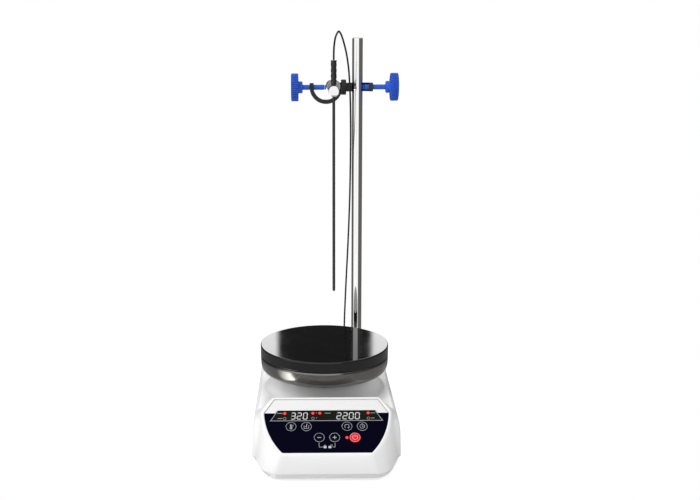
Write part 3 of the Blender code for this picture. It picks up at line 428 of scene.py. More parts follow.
# ================================================================ building meshes
class Shape:
    """A mesh in the making, in mm above the bench. Each method adds to it and returns it."""

    def __init__(self):
        self.bm = bmesh.new()

    def take(self, part):
        """Add another bmesh."""
        carrier = bpy.data.meshes.new("tmp")
        part.to_mesh(carrier)
        part.free()
        self.bm.from_mesh(carrier)
        bpy.data.meshes.remove(carrier)
        return self

    def lathe(self, profile, steps=96, place=UNMOVED, reshape=None):
        """Turn a profile of (radius, height), from axis to axis or a closed loop off the axis.
        reshape(angle, radius, height) may change the radius."""
        def vertex(angle, r, h):
            q = reshape(angle, r, h) if reshape else r
            return self.bm.verts.new(place @ Vector((q * cos(angle), q * sin(angle), h)))

        rings = [[vertex(2 * pi * k / steps, r, h) for k in range(steps if r > 1e-9 else 1)]
                 for r, h in profile]
        pairs = list(zip(rings, rings[1:]))
        if len(rings[0]) > 1:
            pairs.append((rings[-1], rings[0]))
        for a, b in pairs:
            for k in range(steps):
                j = (k + 1) % steps
                if len(a) == 1:
                    self.bm.faces.new((a[0], b[j], b[k]))
                elif len(b) == 1:
                    self.bm.faces.new((a[k], a[j], b[0]))
                else:
                    self.bm.faces.new((a[k], a[j], b[j], b[k]))
        return self

    def cyl(self, r, z0, z1, x=0.0, y=0.0, seg=32, place=UNMOVED):
        bmesh.ops.create_cone(self.bm, cap_ends=True, segments=seg, radius1=r, radius2=r,
                              depth=z1 - z0, matrix=place @ shift(x, y, (z0 + z1) / 2))
        return self

    def box(self, low, high, place=UNMOVED):
        size = [b - a for a, b in zip(low, high)]
        middle = [(a + b) / 2 for a, b in zip(low, high)]
        bmesh.ops.create_cube(self.bm, size=1.0,
                              matrix=place @ shift(*middle) @ Matrix.Diagonal((*size, 1.0)))
        return self

    def soft_box(self, low, high, r, place=UNMOVED):
        """A box with its edges rounded."""
        part = Shape().box(low, high).bm
        bmesh.ops.bevel(part, geom=part.edges[:], offset=r, segments=3, profile=0.5,
                        affect="EDGES", clamp_overlap=True)
        part.transform(place)
        return self.take(part)

    def loft(self, rows):
        """Join rows of matching closed outlines (3D points), capped at both ends."""
        made = [[self.bm.verts.new(p) for p in row] for row in rows]
        n = len(made[0])
        for a, b in zip(made, made[1:]):
            for i in range(n):
                j = (i + 1) % n
                self.bm.faces.new((a[i], a[j], b[j], b[i]))
        self.bm.faces.new(list(reversed(made[0])))
        self.bm.faces.new(made[-1])
        return self

    def prism(self, outline, z0, z1, place=UNMOVED, edge=0.0, seg=3):
        """A flat outline given thickness, its rims rounded by edge."""
        part = Shape().loft([[(x, y, z) for x, y in outline] for z in (z0, z1)]).bm
        if edge:
            rims = [e for e in part.edges if abs(e.verts[0].co.z - e.verts[1].co.z) < 1e-9]
            bmesh.ops.bevel(part, geom=rims, offset=edge, segments=seg, profile=0.5,
                            affect="EDGES", clamp_overlap=True)
        bmesh.ops.recalc_face_normals(part, faces=part.faces)
        part.transform(place)
        return self.take(part)

    def stroke(self, points, width, z0, z1, place=UNMOVED, closed=False):
        """A thin raised band of even width along a 2D polyline."""
        points = [Vector(p) for p in points]
        n = len(points)
        rows = []
        for i, p in enumerate(points):
            before = (p - points[i - 1]).normalized() if i or closed else None
            after = (points[(i + 1) % n] - p).normalized() if i < n - 1 or closed else None
            along = ((before or after) + (after or before)).normalized()
            side = Vector((-along.y, along.x))
            ref = after or before
            reach = 1.0 / max(0.4, side.dot(Vector((-ref.y, ref.x))))
            left = p + side * width / 2 * reach
            right = p - side * width / 2 * reach
            rows.append([(left.x, left.y, z0), (right.x, right.y, z0),
                         (right.x, right.y, z1), (left.x, left.y, z1)])
        if closed:
            part = bmesh.new()
            made = [[part.verts.new(q) for q in row] for row in rows]
            for i in range(n):
                a, b = made[i], made[(i + 1) % n]
                for k in range(4):
                    j = (k + 1) % 4
                    part.faces.new((a[k], a[j], b[j], b[k]))
        else:
            part = Shape().loft(rows).bm
        bmesh.ops.recalc_face_normals(part, faces=part.faces)
        part.transform(place)
        return self.take(part)

    def to_object(self, name="tool"):
        """Make the object, used as a cutter or as the start of a piece."""
        bmesh.ops.recalc_face_normals(self.bm, faces=self.bm.faces)
        self.bm.transform(FRAME)
        mesh = bpy.data.meshes.new(name)
        self.bm.to_mesh(mesh)
        self.bm.free()
        return add_object(name, mesh)

    def piece(self, name, *args, **options):
        return finish(self.to_object(name), name, *args, **options)


def add_object(name, data):
    obj = bpy.data.objects.new(name, data)
    bpy.context.scene.collection.objects.link(obj)
    return obj


def finish(obj, name, material, slot, node=None, body="housing", angle=32):
    """Name, colour and smooth an object, hide the packed node it replaces and parent it to the
    body it rides on.
    Edges sharper than angle, in degrees, stay sharp."""
    obj.name = obj.data.name = name
    for key in [material] if isinstance(material, str) else material:
        obj.data.materials.append(MATERIALS[key])
    obj.data.shade_smooth()
    obj.data.set_sharp_from_angle(angle=radians(angle))
    if node:
        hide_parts(node)
    if body:
        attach(obj, body)
    return obj


def bake_modifiers(obj):
    depsgraph = bpy.context.evaluated_depsgraph_get()
    depsgraph.update()
    baked = bpy.data.meshes.new_from_object(obj.evaluated_get(depsgraph),
                                            preserve_all_data_layers=True, depsgraph=depsgraph)
    obj.modifiers.clear()
    old = obj.data
    obj.data = baked
    bpy.data.meshes.remove(old)


def combine(obj, other, operation, use_self=False):
    """Boolean with another object or Shape, which is used up."""
    if isinstance(other, Shape):
        other = other.to_object()
    modifier = obj.modifiers.new("combine", "BOOLEAN")
    modifier.operation = operation
    modifier.solver = "EXACT"
    modifier.object = other
    modifier.use_self = use_self
    bake_modifiers(obj)
    bpy.data.objects.remove(other, do_unlink=True)


def cut(obj, other, use_self=False):
    combine(obj, other, "DIFFERENCE", use_self)


def join(obj, other):
    combine(obj, other, "UNION")


# ================================================================ housing
# Right half of the plan at the seam, front to rear: x, y
PLAN_HALF = [
    (48.8, FRONT_Y), (54.6, -142.8), (59.2, -138.8), (62.9, -133.5), (65.9, -127.2),
    (68.5, -119.2), (70.2, -110.8), (71.3, -102.0), (72.2, -91.0), (72.8, -78.0),
    (73.0, -64.0), (73.2, -50.0), (73.2, 80.0), (72.2, 92.0), (68.5, 103.0),
    (61.0, 111.8), (50.5, 116.2), (41.0, REAR_Y),
]
# Right shoulder line behind the label: x, y, z, then inward x and y moves per mm of inset
SHOULDER = [
    (67.8, -96.0, 53.0, 1.0, 0.3), (70.2, -84.0, 49.2, 1.0, 0.3), (71.2, -70.0, 46.9, 1.0, 0.0),
    (71.5, -50.0, DECK, 1.0, 0.0), (71.5, 80.0, DECK, 1.0, 0.0), (70.6, 92.0, DECK, 1.0, -0.3),
    (67.1, 102.4, DECK, 0.85, -0.6), (60.0, 110.8, DECK, 0.6, -0.85),
    (50.0, 115.6, DECK, 0.3, -1.0), (41.0, REAR_Y, DECK, 0.0, -1.0),
]
# Section of the thickened flank: x, z
WING_SKIRT_X = 71.3
WING_SECTION = [
    (WING_SKIRT_X, 5.0), (75.3, 5.0), (75.2, 18.0), (74.7, 30.7), (73.7, 39.3), (72.4, 44.6),
    (70.4, 45.7), (66.0, 45.2), (66.0, 12.0), (WING_SKIRT_X, 9.6),
]
# Stations along the flank: y, largest x, x of the skirt points
WING_STATIONS = [(-101.5, 71.1, 69.7), (-96.5, 99.0, 71.3), (92.0, 99.0, 71.3),
                 (99.0, 70.4, 69.2)]


def on_panel(x, s, n=0.0):
    return (x, PANEL_Y + s * COS - n * SIN, PANEL_Z + s * SIN + n * COS)


def arc_x(s, grow):
    """Half width of the label at s, its outline moved out by grow."""
    t = (ARC_S0 - s) / (ARC_B + grow)
    return (ARC_A + grow) * sqrt(max(0.0, 1.0 - t * t))


def label_corner(grow):
    return (LABEL_TOP_X + 0.45 * grow, LABEL_TOP_S + grow)


def label_half(grow, side_points=7):
    """Right half of the label's outline as (x, s), lower edge first."""
    s0, s1 = 0.5 - grow * 0.85, BAND_S + 0.4 * grow
    levels = [s0 + (s1 - s0) * (k / side_points) ** 1.15 for k in range(side_points + 1)]
    return [(arc_x(s, grow), s) for s in levels] + [label_corner(grow)]


def plan_half(inset=0.0):
    """Right half of the plan moved inwards, front centre to rear centre."""
    out = []
    for k, (x, y) in enumerate(PLAN_HALF):
        ax, ay = PLAN_HALF[k - 1] if k else (0.0, y)
        bx, by = PLAN_HALF[k + 1] if k + 1 < len(PLAN_HALF) else (0.0, y)
        nx, ny = by - ay, -(bx - ax)
        d = hypot(nx, ny)
        out.append((x - inset * nx / d, y - inset * ny / d))
    return [(out[0][0], FRONT_Y + inset)] + out[1:-1] + [(out[-1][0], REAR_Y - inset)]


def top_half(inset):
    """Right half of the shoulder line, matched point for point with the plan."""
    points = [on_panel(x, s, -inset) for x, s in label_half(RIM - inset)[:-1]]
    return points + [(x - dx * inset, y + dy * inset, z - inset) for x, y, z, dx, dy in SHOULDER]


def housing_cage(inset, z_bottom):
    """The body from plan to shoulder line, closed by the panel, the ridge and the deck."""
    shape = Shape()
    bm = shape.bm

    def both_sides(points):
        return ([bm.verts.new(p) for p in points],
                [bm.verts.new((-x, y, z)) for x, y, z in points])

    def face(corners, flip):
        bm.faces.new(list(reversed(corners)) if flip else corners)

    deck = DECK - inset
    ridge = on_panel(label_half(RIM - inset)[-1][0], PANEL_S_TOP - inset, -inset)
    valley = [(68.5 - inset, -62.0, deck), (60.0 - inset, -70.0, deck),
              (49.0 - inset, -77.0 + 0.6 * inset, deck)]
    base_r, base_l = both_sides([(x, y, z_bottom) for x, y in plan_half(inset)])
    top_r, top_l = both_sides(top_half(inset))
    (ridge_r,), (ridge_l,) = both_sides([ridge])
    valley_r, valley_l = both_sides(valley)
    for low, high, flip in ((base_r, top_r, False), (base_l, top_l, True)):
        for i in range(len(low) - 1):
            face([low[i], low[i + 1], high[i + 1], high[i]], flip)
    bm.faces.new([base_l[0], base_r[0], top_r[0], top_l[0]])
    bm.faces.new([base_r[-1], base_l[-1], top_l[-1], top_r[-1]])
    bm.faces.new(list(reversed(base_r)) + base_l)
    c = 7  # index of the last shoulder point beside the label
    bm.faces.new(top_r[: c + 1] + [ridge_r, ridge_l] + list(reversed(top_l[: c + 1])))
    for t, r, v, flip in ((top_r, ridge_r, valley_r, False), (top_l, ridge_l, valley_l, True)):
        for corners in ([t[c], t[c + 1], r], [t[c + 1], t[c + 2], r], [t[c + 2], v[1], r],
                        [v[1], v[2], r], [t[c + 2], t[c + 3], v[1]], [t[c + 3], v[0], v[1]],
                        [t[c + 3], t[c + 4], v[0]]):
            face(corners, flip)
    bm.faces.new([ridge_r, valley_r[2], valley_l[2], ridge_l])
    bm.faces.new(top_r[c + 4:] + list(reversed(top_l[c + 4:])) + valley_l
                 + list(reversed(valley_r)))
    return shape


def housing_skin():
    """Body, skirt, collar and flanks fused into one even voxel skin."""
    shape = housing_cage(0.0, SEAM)
    shape.prism(mirrored(plan_half()), 3.5, SEAM + 0.2)
    collar = rounded([(0, COLLAR_TOP), (COLLAR_R, COLLAR_TOP), (COLLAR_R, 60)], 0.8)[:-1]
    fillet = [(COLLAR_R, 56.0)]
    fillet += [(COLLAR_R + 9.5 - 9.5 * cos(t), 55.5 - 9.9 * sin(t))
               for t in [radians(7.5 * k) for k in range(1, 12)]]
    shape.lathe(collar + fillet + [(69.0, 45.4), (69.0, 42.0), (0, 42.0)], steps=160)
    for side in (1, -1):
        shape.loft([[(side * (skirt if x == WING_SKIRT_X else min(x, largest)), y, z)
                     for x, z in WING_SECTION] for y, largest, skirt in WING_STATIONS])
    obj = shape.to_object()
    modifier = obj.modifiers.new("skin", "REMESH")
    modifier.mode = "VOXEL"
    modifier.voxel_size = 0.00115
    modifier.adaptivity = 0.0
    bake_modifiers(obj)
    return obj


def read_points(mesh):
    """Vertex places in the mesh's own metres, one row each."""
    co = np.zeros(len(mesh.vertices) * 3)
    mesh.vertices.foreach_get("co", co)
    return co.reshape(-1, 3)


def write_points(mesh, co):
    mesh.vertices.foreach_set("co", co.ravel())
    mesh.update()


def relax(mesh, passes, weight):
    """Each vertex moves half way to its neighbours' mean, by its own weight."""
    co = read_points(mesh)
    n = len(co)
    edges = np.zeros(len(mesh.edges) * 2, dtype=np.int64)
    mesh.edges.foreach_get("vertices", edges)
    first, second = edges.reshape(-1, 2).T
    a, b = np.concatenate([first, second]), np.concatenate([second, first])
    degree = np.maximum(1, np.bincount(a, minlength=n)).astype(float)
    for _ in range(passes):
        sums = [np.bincount(a, weights=co[b, k], minlength=n) for k in range(3)]
        mean = np.stack(sums, axis=1) / degree[:, None]
        co += 0.5 * weight[:, None] * (mean - co)
    write_points(mesh, co)


def smoothstep(x, low, high):
    t = np.clip((x - low) / (high - low), 0, 1)
    return t * t * (3 - 2 * t)


def inside_outline(x, y, outline):
    """Signed distance of points to a closed outline, positive inside."""
    poly = np.array(outline)
    inside = np.zeros(len(x), bool)
    dist = np.full(len(x), 1e9)
    for (x0, y0), (x1, y1) in zip(poly, np.roll(poly, -1, axis=0)):
        dx, dy = x1 - x0, y1 - y0
        inside ^= ((y0 > y) != (y1 > y)) & (x < dx * (y - y0) / (dy or 1e-12) + x0)
        t = np.clip(((x - x0) * dx + (y - y0) * dy) / (dx * dx + dy * dy), 0, 1)
        dist = np.minimum(dist, np.hypot(x - x0 - t * dx, y - y0 - t * dy))
    return np.where(inside, dist, -dist)


def in_panel(p):
    """Panel coordinates s and n of points in mm."""
    y, z = p[:, 1] - PANEL_Y, p[:, 2] - PANEL_Z
    return y * COS + z * SIN, -y * SIN + z * COS


def smooth_skin(mesh):
    """Relax the voxel steps, most at the back and front, then press the panel flat."""
    lift = np.array([0, 0, PLATE_TOP])
    plateau = mirrored(label_half(RIM - 0.9, 24))
    p = read_points(mesh) / MM + lift
    x, y, z = p.T
    s, n = in_panel(p)
    panel = (1 - smoothstep(np.abs(n), 2.0, 6.0)) * smoothstep(
        inside_outline(x, s, plateau), -5.0, -1.0)
    flank = smoothstep(np.abs(x), 68.0, 71.0) * (z < 44.0)
    collar = smoothstep(z, 60.0, 66.0) * (np.hypot(x, y) < 62)
    back = smoothstep(y, -104.0, -92.0) * smoothstep(z, 30.0, 42.0) * (1 - collar)
    front = (y < -88) * smoothstep(z, 8.0, 14.0)
    weight = np.clip(back + 0.55 * front, 0, 1) * (1 - 0.9 * panel) * (1 - 0.8 * flank)
    relax(mesh, 5, np.ones(len(x)))
    relax(mesh, 26, weight)

    p = read_points(mesh) / MM + lift
    s, n = in_panel(p)
    flat = (inside_outline(p[:, 0], s, plateau) > 0.0) & (np.abs(n) < 1.5)
    p[flat, 1] += n[flat] * SIN
    p[flat, 2] -= n[flat] * COS
    write_points(mesh, (p - lift) * MM)


def housing_hollow():
    """One cutter: the hollow with its bosses left standing, the space below the seam,
    the label's seat and the openings."""
    hollow = housing_cage(WALL, 1.0).to_object()
    join(hollow, Shape().cyl(COLLAR_R - WALL, 30.0, COLLAR_TOP - WALL, seg=96))
    below = [(0, -156), (82, -156), (82, -102.2)]
    below += [(skirt, y) for y, _, skirt in WING_STATIONS]
    below += [(82, 99.8), (82, 126), (0, 126)]
    join(hollow, Shape().prism(mirrored(below), -6.0, SEAM))
    for x, y in BOSSES.values():
        cut(hollow, Shape().cyl(4.5, 7.4, 55.0, x, y))
    for x, s in ((-46, 22), (46, 22), (-47, 50.5), (47, 50.5)):  # posts behind the panel
        cut(hollow, Shape().cyl(2.2, -8.1, 4.1, x, s, seg=24, place=PANEL))
    # label seat: growth of the outline, n
    seat = [(0.3, -RECESS), (0.3, -0.40), (0.42, -0.18), (0.75, 0.02), (0.75, 4.0)]
    join(hollow, Shape().loft([[PANEL @ Vector((x, s, n)) for x, s in
                                mirrored(label_half(grow, 26))] for grow, n in seat]))
    for x, s in KEYS.values():
        join(hollow, Shape().cyl(KEY_R + 0.35, -5.4, 0.6, x, s, seg=48, place=PANEL))
    join(hollow, Shape().prism(rect(-46, 36.6, 46, 46.6), -5.0, 1.0, PANEL))

    holes = Shape()
    for x, y in BOSSES.values():
        holes.cyl(1.8, 5.0, 26.0, x, y, seg=24)
    holes.lathe([(0, 76.0), (39.0, 76.0), (39.0, COLLAR_TOP + 0.02), (38.0, COLLAR_TOP - 1.0),
                 (38.0, 60.0), (0, 60.0)], 128)
    holes.lathe([(0, 52.0), (9.2, 52.0), (9.2, DECK + 0.02), (8.4, DECK - 0.8), (8.4, 40.0),
                 (0, 40.0)], 64, ROD_AXIS)
    holes.lathe([(0, 122.0), (7.0, 122.0), (7.0, REAR_Y + 0.02), (6.35, REAR_Y - 0.65),
                 (6.35, 110.0), (0, 110.0)], 64, SOCKET_AXIS)
    margin = 1.7
    holes.box((INLET_X0 + margin, 110, INLET_Z0 + margin),
              (INLET_X1 - margin, 121, INLET_Z1 - margin))
    for k in range(3):
        a = radians(90 + 120 * k)
        holes.cyl(1.6, 64.0, 75.0, 47.5 * cos(a), 47.5 * sin(a), seg=24)
    join(hollow, holes)
    return hollow


housing = housing_skin()
smooth_skin(housing.data)
cut(housing, housing_hollow())
housing.data.materials.clear()
finish(housing, "housing_shell", "moulded_white", "body_white", "upper_housing", angle=38)


# ================================================================ base cover, feet and screws
def even_outline(inset):
    """The plan moved inwards as a smooth closed outline. Front, flanks and rear stay straight."""
    pts = [Vector(q) for q in plan_half(inset)]
    out = []
    for i in range(len(pts) - 1):
        a = pts[i - 1] if i else Vector((0.0, pts[0].y))
        b, c = pts[i], pts[i + 1]
        d = pts[i + 2] if i + 2 < len(pts) else Vector((0.0, pts[-1].y))
        if (c - b).length > 60:
            out.append(b)
            continue
        curved = 1.0 if 0 < i < len(pts) - 2 else 0.0
        for t in (0.0, 0.5):
            out.append(b.lerp(c, t).lerp(catmull_rom(a, b, c, d, t), curved))
    out.append(pts[-1])
    return mirrored([tuple(q) for q in out])


# The cover is set back under the shell, its lower edge drawn in: z, inset
COVER_LEVELS = [(9.0, 2.4), (5.4, 2.4), (4.6, 2.7), (4.0, 3.2), (3.5, 3.9), (3.15, 4.7),
                (3.0, 5.6)]
COVER_POSTS = [(-47, 52), (47, 52), (-47, 88), (34, 88)]
cover = Shape().loft([[(x, y, z) for x, y in even_outline(inset)]
                      for z, inset in COVER_LEVELS]).to_object()
pocket = Shape().prism(even_outline(8.0), 7.0, 12.0).to_object()
for x, y in COVER_POSTS:
    cut(pocket, Shape().cyl(3.0, 5.0, 14.0, x, y, seg=24))
for x, y in BOSSES.values():
    join(pocket, Shape().cyl(4.9, 7.1, 13.0, x, y, seg=40))
cut(cover, pocket)
posts = Shape()
for x, y in COVER_POSTS:
    posts.lathe(rounded([(0, 13.7), (3.0, 13.7), (3.0, 5.0)], 0.4) + [(0, 5.0)], 32, shift(x, y))
join(cover, posts)
holes = Shape()
for x, y in BOSSES.values():
    holes.lathe([(0, 12.0), (1.9, 12.0), (1.9, 5.6), (4.0, 5.6), (4.0, 3.3), (4.6, 2.7),
                 (4.6, 1.0), (0, 1.0)], 40, shift(x, y))
for x, y in FEET.values():
    holes.lathe([(0, 12.0), (3.1, 12.0), (3.1, 1.0), (0, 1.0)], 32, shift(x, y))
for k in range(6):  # round-ended slots across the front
    y = -110.5 + 7 * k
    holes.prism(arc(1.5, -90, 90, 8, 26.5, y) + arc(1.5, 90, 270, 8, -26.5, y), 0.0, 12.0)
cut(cover, holes)
cover.data.materials.clear()
finish(cover, "base_cover_shell", "moulded_white", "body_white", "base_cover")

foot = rounded([(0, 6.2), (2.7, 6.2), (2.7, 2.7), (7.4, 2.7), (7.6, 2.0), (7.0, 0.0), (4.6, 0.0),
                (4.2, 0.5), (0, 0.5)], [0, 0.4, 0, 0.5, 0.3, 0.5, 0.2, 0.1, 0])
for tag, (x, y) in FEET.items():
    Shape().lathe(foot, 64, shift(x, y), lambda a, r, h: r - (
        0.12 if 0.9 < h < 2.3 and r > 6 and cos(24 * a) < -0.2 else 0.0)
    ).piece("rubber_foot_" + tag, "foot_rubber", "rubber", "foot_" + tag)

screw_profile = [(0, 20.0), (0.9, 19.6), (1.2, 18.6)]
screw_profile += thread(18.4, 6.4, pitch=0.8, crest=1.5, root=1.2)
screw_profile += rounded([(1.5, 5.3), (3.5, 5.3), (3.5, 4.0), (2.6, 3.3), (1.5, 3.3)], 0.2)
screw_profile += [(0, 3.3)]
for tag, (x, y) in BOSSES.items():
    screw = Shape().lathe(screw_profile, 32, shift(x, y)).to_object()
    cross = Shape()
    for a in (0, pi / 2):
        cross.box((-1.7, -0.33, 2.0), (1.7, 0.33, 4.4), shift(x, y) @ Matrix.Rotation(a, 4, "Z"))
    cut(screw, cross, use_self=True)
    finish(screw, "cover_screw_" + tag, "zinc_plate", "zinc_steel", "base_screw_" + tag)


# ================================================================ control panel
FILM_BACK, FILM_FACE = -1.1, -0.3
INK_FILM = (FILM_FACE - 0.01, FILM_FACE + 0.035)  # n range of prints on the film
INK_WINDOW = (-0.21, -0.165)  # n range of prints on the window


def window_outline(grow=0.0):
    low_x, low_s = WINDOW_LOW_X + grow * 1.6, WINDOW_LOW_S - grow
    top_x, top_s = WINDOW_TOP_X + grow, WINDOW_TOP_S + grow
    return rounded([(-low_x, low_s), (low_x, low_s), (top_x, top_s), (-top_x, top_s)], 0.6,
                   closed=True)


def colour_film(mesh):
    """Split the film at the band's lower edge and give the upper part the second material."""
    bm = bmesh.new()
    bm.from_mesh(mesh)
    edge = at(*(PANEL @ Vector((0, BAND_S, 0))))
    uphill = PANEL.to_3x3() @ Vector((0, 1, 0))
    bmesh.ops.bisect_plane(bm, geom=bm.verts[:] + bm.edges[:] + bm.faces[:], plane_co=edge,
                           plane_no=uphill, dist=1e-7)
    for f in bm.faces:
        f.material_index = 1 if (f.calc_center_median() - edge).dot(uphill) > 0 else 0
    bm.to_mesh(mesh)
    bm.free()


film = Shape().prism(mirrored(label_half(0.0, 40)), FILM_BACK, FILM_FACE, PANEL, edge=0.12,
                     seg=2).to_object()
holes = Shape()
for x, s in KEYS.values():
    holes.cyl(KEY_R + 0.3, -3.0, 3.0, x, s, seg=72, place=PANEL)
cut(film, holes.prism(window_outline(0.3), -3.0, 3.0, PANEL))
colour_film(film.data)
finish(film, "panel_film", ("printed_navy", "printed_white"), "navy_film", "panel_overlay",
       angle=30)

Shape().prism(window_outline(), -1.1, -0.2, PANEL, edge=0.15).piece(
    "display_strip", "smoked_window", "smoke_window", "display_window", angle=30)

# Painted shadow: a thin grey line round the white band, just inside the label's edge, stands in
# for the shade in the gap between film and housing
grow = -0.45
band = [(arc_x(s, grow), s) for s in (BAND_S + 0.1, BAND_S + 0.4)] + [label_corner(grow)]
Shape().stroke(mirrored(band), 0.34, *INK_FILM, PANEL).piece(
    "painted_gap_shadow_line", "grey_ink", "navy_film", angle=30)

# On the window: frame line, unlit indicator rings, dashes and two small rings
inset = 0.55
low_x = WINDOW_LOW_X - 1.25
marks = Shape().stroke(
    [(-WINDOW_TOP_X, WINDOW_TOP_S - inset), (-low_x, WINDOW_LOW_S + inset),
     (low_x, WINDOW_LOW_S + inset), (WINDOW_TOP_X, WINDOW_TOP_S - inset)],
    0.55, *INK_WINDOW, PANEL)
for x, s in ((-41, 38.9), (-13.3, 38.9), (41.2, 38.9)):
    marks.stroke(arc(1.32, 0, 352.5, 47, x, s), 0.3, *INK_WINDOW, PANEL, closed=True)
for x0, x1, s in ((-48.6, -43.3, 44.8), (-48.0, -43.3, 38.9), (-1.6, 4.2, 44.8),
                  (43.6, 48.2, 44.8), (43.6, 47.2, 38.9)):
    marks.prism(rect(x0, s - 0.28, x1, s + 0.28, 0.2, 3), *INK_WINDOW, PANEL)
for x, s in ((-9.9, 45.2), (-9.9, 39.3)):
    marks.stroke(arc(0.42, 0, 345, 23, x, s), 0.22, *INK_WINDOW, PANEL, closed=True)
marks.piece("print_display_marks", "grey_ink", "navy_film", angle=30)

SEGMENTS = {"0": "abcdef", "2": "abged", "3": "abgcd"}


def add_digit(shape, x, s, w, h, t, names, n0, n1):
    """Seven-segment figure w by h with its lower left corner at (x, s), leaning slightly.
    t is the width of a segment."""
    gap, lean, half = 0.16, tan(radians(5)), h / 2

    def horizontal(y):
        return [(gap + t / 2, y), (gap + t, y + t / 2), (w - gap - t, y + t / 2),
                (w - gap - t / 2, y), (w - gap - t, y - t / 2), (gap + t, y - t / 2)]

    def vertical(xc, y0, y1):
        return [(xc, y0 + gap), (xc + t / 2, y0 + gap + t / 2), (xc + t / 2, y1 - gap - t / 2),
                (xc, y1 - gap), (xc - t / 2, y1 - gap - t / 2), (xc - t / 2, y0 + gap + t / 2)]

    outlines = {"a": horizontal(h - t / 2), "g": horizontal(half), "d": horizontal(t / 2),
                "b": vertical(w - t / 2, half, h - t / 2), "c": vertical(w - t / 2, t / 2, half),
                "f": vertical(t / 2, half, h - t / 2), "e": vertical(t / 2, t / 2, half)}
    for name in names:
        shape.prism([(x + a + (b - half) * lean, s + b) for a, b in outlines[name]], n0, n1,
                    PANEL)


lit, unlit = Shape(), Shape()
for text, first_x, pitch, width in (("320", -35.0, 5.95, 4.6), ("2200", 9.9, 6.05, 4.75)):
    for i, figure in enumerate(text):
        place = (first_x + i * pitch, 37.6, width, 8.0, 0.82)
        on = SEGMENTS[figure]
        off = [name for name in "abcdefg" if name not in on]
        add_digit(lit, *place, on, *INK_WINDOW)
        add_digit(unlit, *place, off, INK_WINDOW[0], INK_WINDOW[0] + 0.03)
lit.piece("display_digits_lit", "lit_segment", "led_module", angle=30)
unlit.piece("display_digits_unlit", "unlit_segment", "led_module", angle=30)

lamps = Shape()
for x, s, n in ((-41, 44.8, -0.2), (-13.3, 44.8, -0.2), (-6.5, 44.8, -0.2), (41.2, 44.8, -0.2),
                (19.4, 17.0, FILM_FACE)):
    lamps.lathe([(0, 0.26), (0.5, 0.24), (0.95, 0.18), (1.28, 0.08), (1.42, 0.0), (1.42, -0.05),
                 (0, -0.05)], 40, PANEL @ shift(x, s, n))
lamps.piece("indicator_lamps", "lit_led", "red_key", angle=40)

# Lines from the minus and plus keys to a locked and an open padlock
locks = Shape()
for points in ([(-7.6, 11.3), (-7.6, 6.6), (-4.0, 6.6)], [(7.7, 11.3), (7.7, 6.6), (5.2, 6.6)]):
    locks.stroke(rounded(points, 0.5), 0.32, *INK_FILM, PANEL)
for x, is_open in ((-1.9, False), (2.7, True)):
    locks.prism(rect(x - 1.4, 5.4, x + 1.4, 7.6, 0.3, 3), *INK_FILM, PANEL)
    if is_open:
        shackle = [(x + 0.85, 7.5), (x + 0.85, 8.2)] + arc(0.85, 180, 0, 12, x + 1.7, 8.2)
        shackle += [(x + 2.55, 7.9)]
    else:
        shackle = [(x - 0.85, 7.5), (x - 0.85, 8.0)] + arc(0.85, 180, 0, 12, x, 8.0)
        shackle += [(x + 0.85, 7.5)]
    locks.stroke(shackle, 0.32, *INK_FILM, PANEL)
locks.piece("print_lock_bracket", "soft_white_ink", "navy_film", angle=30)

PLUS_T, PLUS_R = 0.30, 1.9  # half thickness and reach of the plus sign
ARROW_X, ARROW_Y = arc(2.2, -40, -40, 1)[0]
# Pictures on the keys: strokes (width, points, closed), then filled outlines
GLYPHS = {
    "key_minus": ([], [rect(-1.9, -0.28, 1.9, 0.28, 0.15, 3)]),
    "key_plus": ([], [[
        (-PLUS_R, -PLUS_T), (-PLUS_T, -PLUS_T), (-PLUS_T, -PLUS_R), (PLUS_T, -PLUS_R),
        (PLUS_T, -PLUS_T), (PLUS_R, -PLUS_T), (PLUS_R, PLUS_T), (PLUS_T, PLUS_T),
        (PLUS_T, PLUS_R), (-PLUS_T, PLUS_R), (-PLUS_T, PLUS_T), (-PLUS_R, PLUS_T)]]),
    "key_temperature": (  # thermometer
        [(0.28, [(-0.62, -1.05), (-0.62, 1.9)] + arc(0.62, 180, 0, 10, 0, 1.9)
          + [(0.62, -1.05)], False),
         (0.28, arc(1.1, 120, 420, 30, 0, -1.9), False)],
        [arc(0.62, 0, 345, 23, 0, -1.9), rect(-0.2, -1.5, 0.2, 1.0)]
        + [rect(1.3, y - 0.12, 2.2, y + 0.12) for y in (0.2, 1.0, 1.8)]),
    "key_probe": (  # probe in a vessel
        [(0.3, [(-2.2, 1.2), (-2.2, -2.2), (2.2, -2.2), (2.2, 1.2)], False),
         (0.42, [(0.2, -1.2), (0.2, 2.6), (1.2, 3.1)], False),
         (0.25, [(-1.6, -0.2), (-0.8, 0.1), (-0.3, -0.2)], False)], []),
    "key_speed": (  # circling arrow
        [(0.36, arc(2.2, -40, 235, 36), False)],
        [[(ARROW_X - 1.15, ARROW_Y + 0.15), (ARROW_X + 0.75, ARROW_Y + 0.75),
          (ARROW_X - 0.35, ARROW_Y - 1.0)]]),
    "key_timer": (  # clock face
        [(0.32, arc(2.3, 0, 352.5, 47), True),
         (0.32, [(0, 1.5), (0, 0), (1.15, -0.55)], False)],
        [rect(-0.55, 2.75, 0.55, 3.1)]),
    "key_start_stop": (
        [(0.42, arc(2.4, 125, 415, 40), False)], [rect(-0.24, 0.6, 0.24, 3.0)]),
}
key_profile = [(0, 0.02), (2.0, 0.03), (3.6, 0.07), (4.4, 0.1)]
key_profile += rounded(
    [(4.4, 0.1), (KEY_R, 0.1), (KEY_R, -4.3), (KEY_R + 0.8, -4.3), (KEY_R + 0.8, -5.5),
     (0, -5.5)], [0, 0.35, 0, 0.2, 0.2, 0], 5)[1:]
